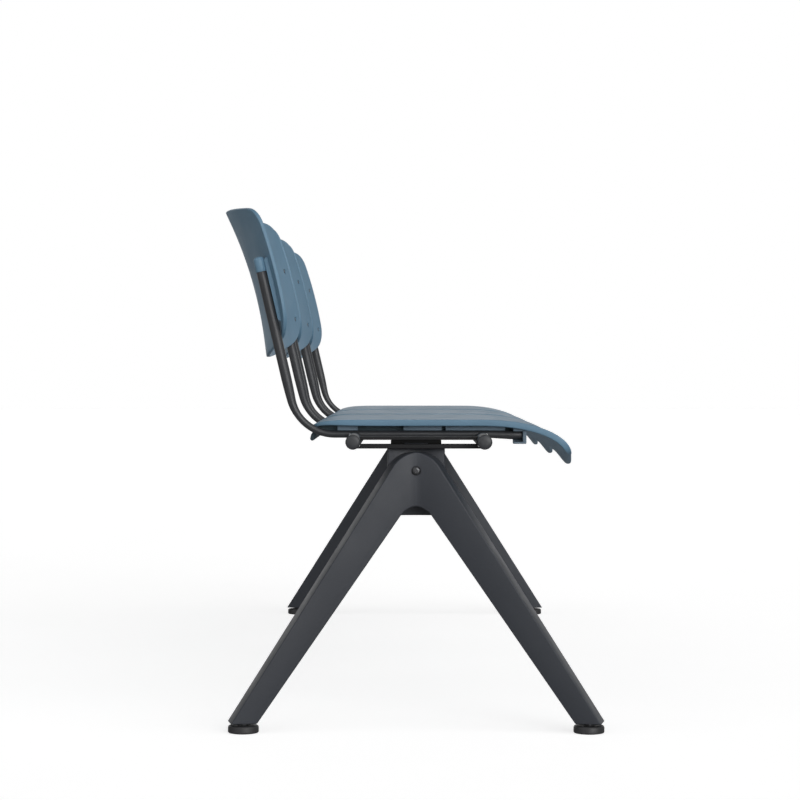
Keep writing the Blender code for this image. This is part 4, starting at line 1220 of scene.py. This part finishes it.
# %% [markdown]
# ## Studio
# The row stands on a plain pale floor that runs out of sight. The floor glows for the camera alone, which
# makes it as white as studio paper and still lets it show the row's shadow.

# %% Lay the floor
FLOOR_GLOW = 0.74


def floor_material():
    material = bpy.data.materials.new("studio_floor")
    material.use_nodes = True
    tree = material.node_tree
    shader = tree.nodes["Principled BSDF"]
    shader.inputs["Roughness"].default_value = 0.8
    shader.inputs["Specular IOR Level"].default_value = 0.1
    coords = add_node(tree, "ShaderNodeTexCoord")
    tone = add_range(tree, add_noise(tree, coords, 3.0), 0.0, 1.0)
    tree.links.new(add_mix(tree, tone, (0.58, 0.58, 0.58), (0.60, 0.60, 0.60)), shader.inputs["Base Color"])
    path = add_node(tree, "ShaderNodeLightPath")
    shader.inputs["Emission Color"].default_value = (1.0, 1.0, 1.0, 1.0)
    glow = add_range(tree, path.outputs["Is Camera Ray"], 0.0, FLOOR_GLOW, 0.0, 1.0)
    tree.links.new(glow, shader.inputs["Emission Strength"])
    return material


bpy.ops.object.select_all(action="DESELECT")
bpy.ops.mesh.primitive_plane_add(size=60.0, location=(0, 0, 0))
floor = bpy.context.object
floor.name = "studio_floor"
floor.data.materials.append(floor_material())
print("floor laid")

# %% [markdown]
# A low key lamp stands at the camera's right, and two wide fills soften its shadows. All three are suns, so
# they light the whole row evenly. For the camera alone the world is white, which gives the clean background
# without adding light. For reflections it is a white wall behind the row, which the seats' tops mirror.

# %% Light the studio
def backdrop(tree, sides, behind):
    """A strength that grows from the sides of the studio to the white wall behind the row."""
    coords = add_node(tree, "ShaderNodeTexCoord")
    split = add_node(tree, "ShaderNodeSeparateXYZ")
    tree.links.new(coords.outputs["Generated"], split.inputs["Vector"])
    return add_range(tree, split.outputs["X"], sides, behind, 0.55, 0.95)


def white_world(ambient, sides, behind):
    """A world that is white to the camera, with its own strengths for soft light and for reflections."""
    world = bpy.data.worlds.new("studio")
    bpy.context.scene.world = world
    world.use_nodes = True
    tree = world.node_tree
    path = add_node(tree, "ShaderNodeLightPath")
    base = tree.nodes["Background"]
    base.inputs["Color"].default_value = (1.0, 1.0, 1.0, 1.0)
    base.inputs["Strength"].default_value = ambient
    sky = base.outputs["Background"]
    for ray in ("Is Glossy Ray", "Is Camera Ray"):
        layer = add_node(tree, "ShaderNodeBackground")
        layer.inputs["Color"].default_value = (1.0, 1.0, 1.0, 1.0)
        layer.inputs["Strength"].default_value = 1.0
        if ray == "Is Glossy Ray":
            tree.links.new(backdrop(tree, sides, behind), layer.inputs["Strength"])
        mix = add_node(tree, "ShaderNodeMixShader")
        tree.links.new(path.outputs[ray], mix.inputs["Fac"])
        tree.links.new(sky, mix.inputs[1])
        tree.links.new(layer.outputs["Background"], mix.inputs[2])
        sky = mix.outputs["Shader"]
    tree.links.new(sky, tree.nodes["World Output"].inputs["Surface"])


def soft_sun(name, direction, strength, angle):
    """A wide, soft lamp that shines from a direction, the same everywhere."""
    light = bpy.data.lights.new(name, "SUN")
    light.energy = strength
    light.angle = math.radians(angle)
    lamp = bpy.data.objects.new(name, light)
    bpy.context.scene.collection.objects.link(lamp)
    lamp.rotation_euler = Vector(direction).to_track_quat("Z", "Y").to_euler()


white_world(0.05, 0.14, 1.0)
soft_sun("key", (-0.92, -0.39, 0.13), 1.45, 40.0)
soft_sun("fill_right", (-0.6, -0.6, 0.55), 1.10, 70.0)
soft_sun("fill_left", (-0.6, 0.6, 0.55), 0.70, 70.0)

# %% [markdown]
# The camera stands past the row's left end and looks along it, a little above the seats, through a long
# lens. The legs, seats and backs then overlap as in the photograph.

# %% Set the camera
bpy.context.scene.view_settings.view_transform = "Standard"
camera = bpy.data.objects.new("photo_camera", bpy.data.cameras.new("photo_camera"))
bpy.context.scene.collection.objects.link(camera)
camera.data.lens = 113.2
camera.data.sensor_width = 36.0
camera.location = at(-4.548, -0.00685, 0.5277)
camera.rotation_euler = (math.radians(90 - 0.681), 0.0, math.radians(-90 + 0.26))
bpy.context.scene.camera = camera
print("camera at", [round(value, 3) for value in camera.location])
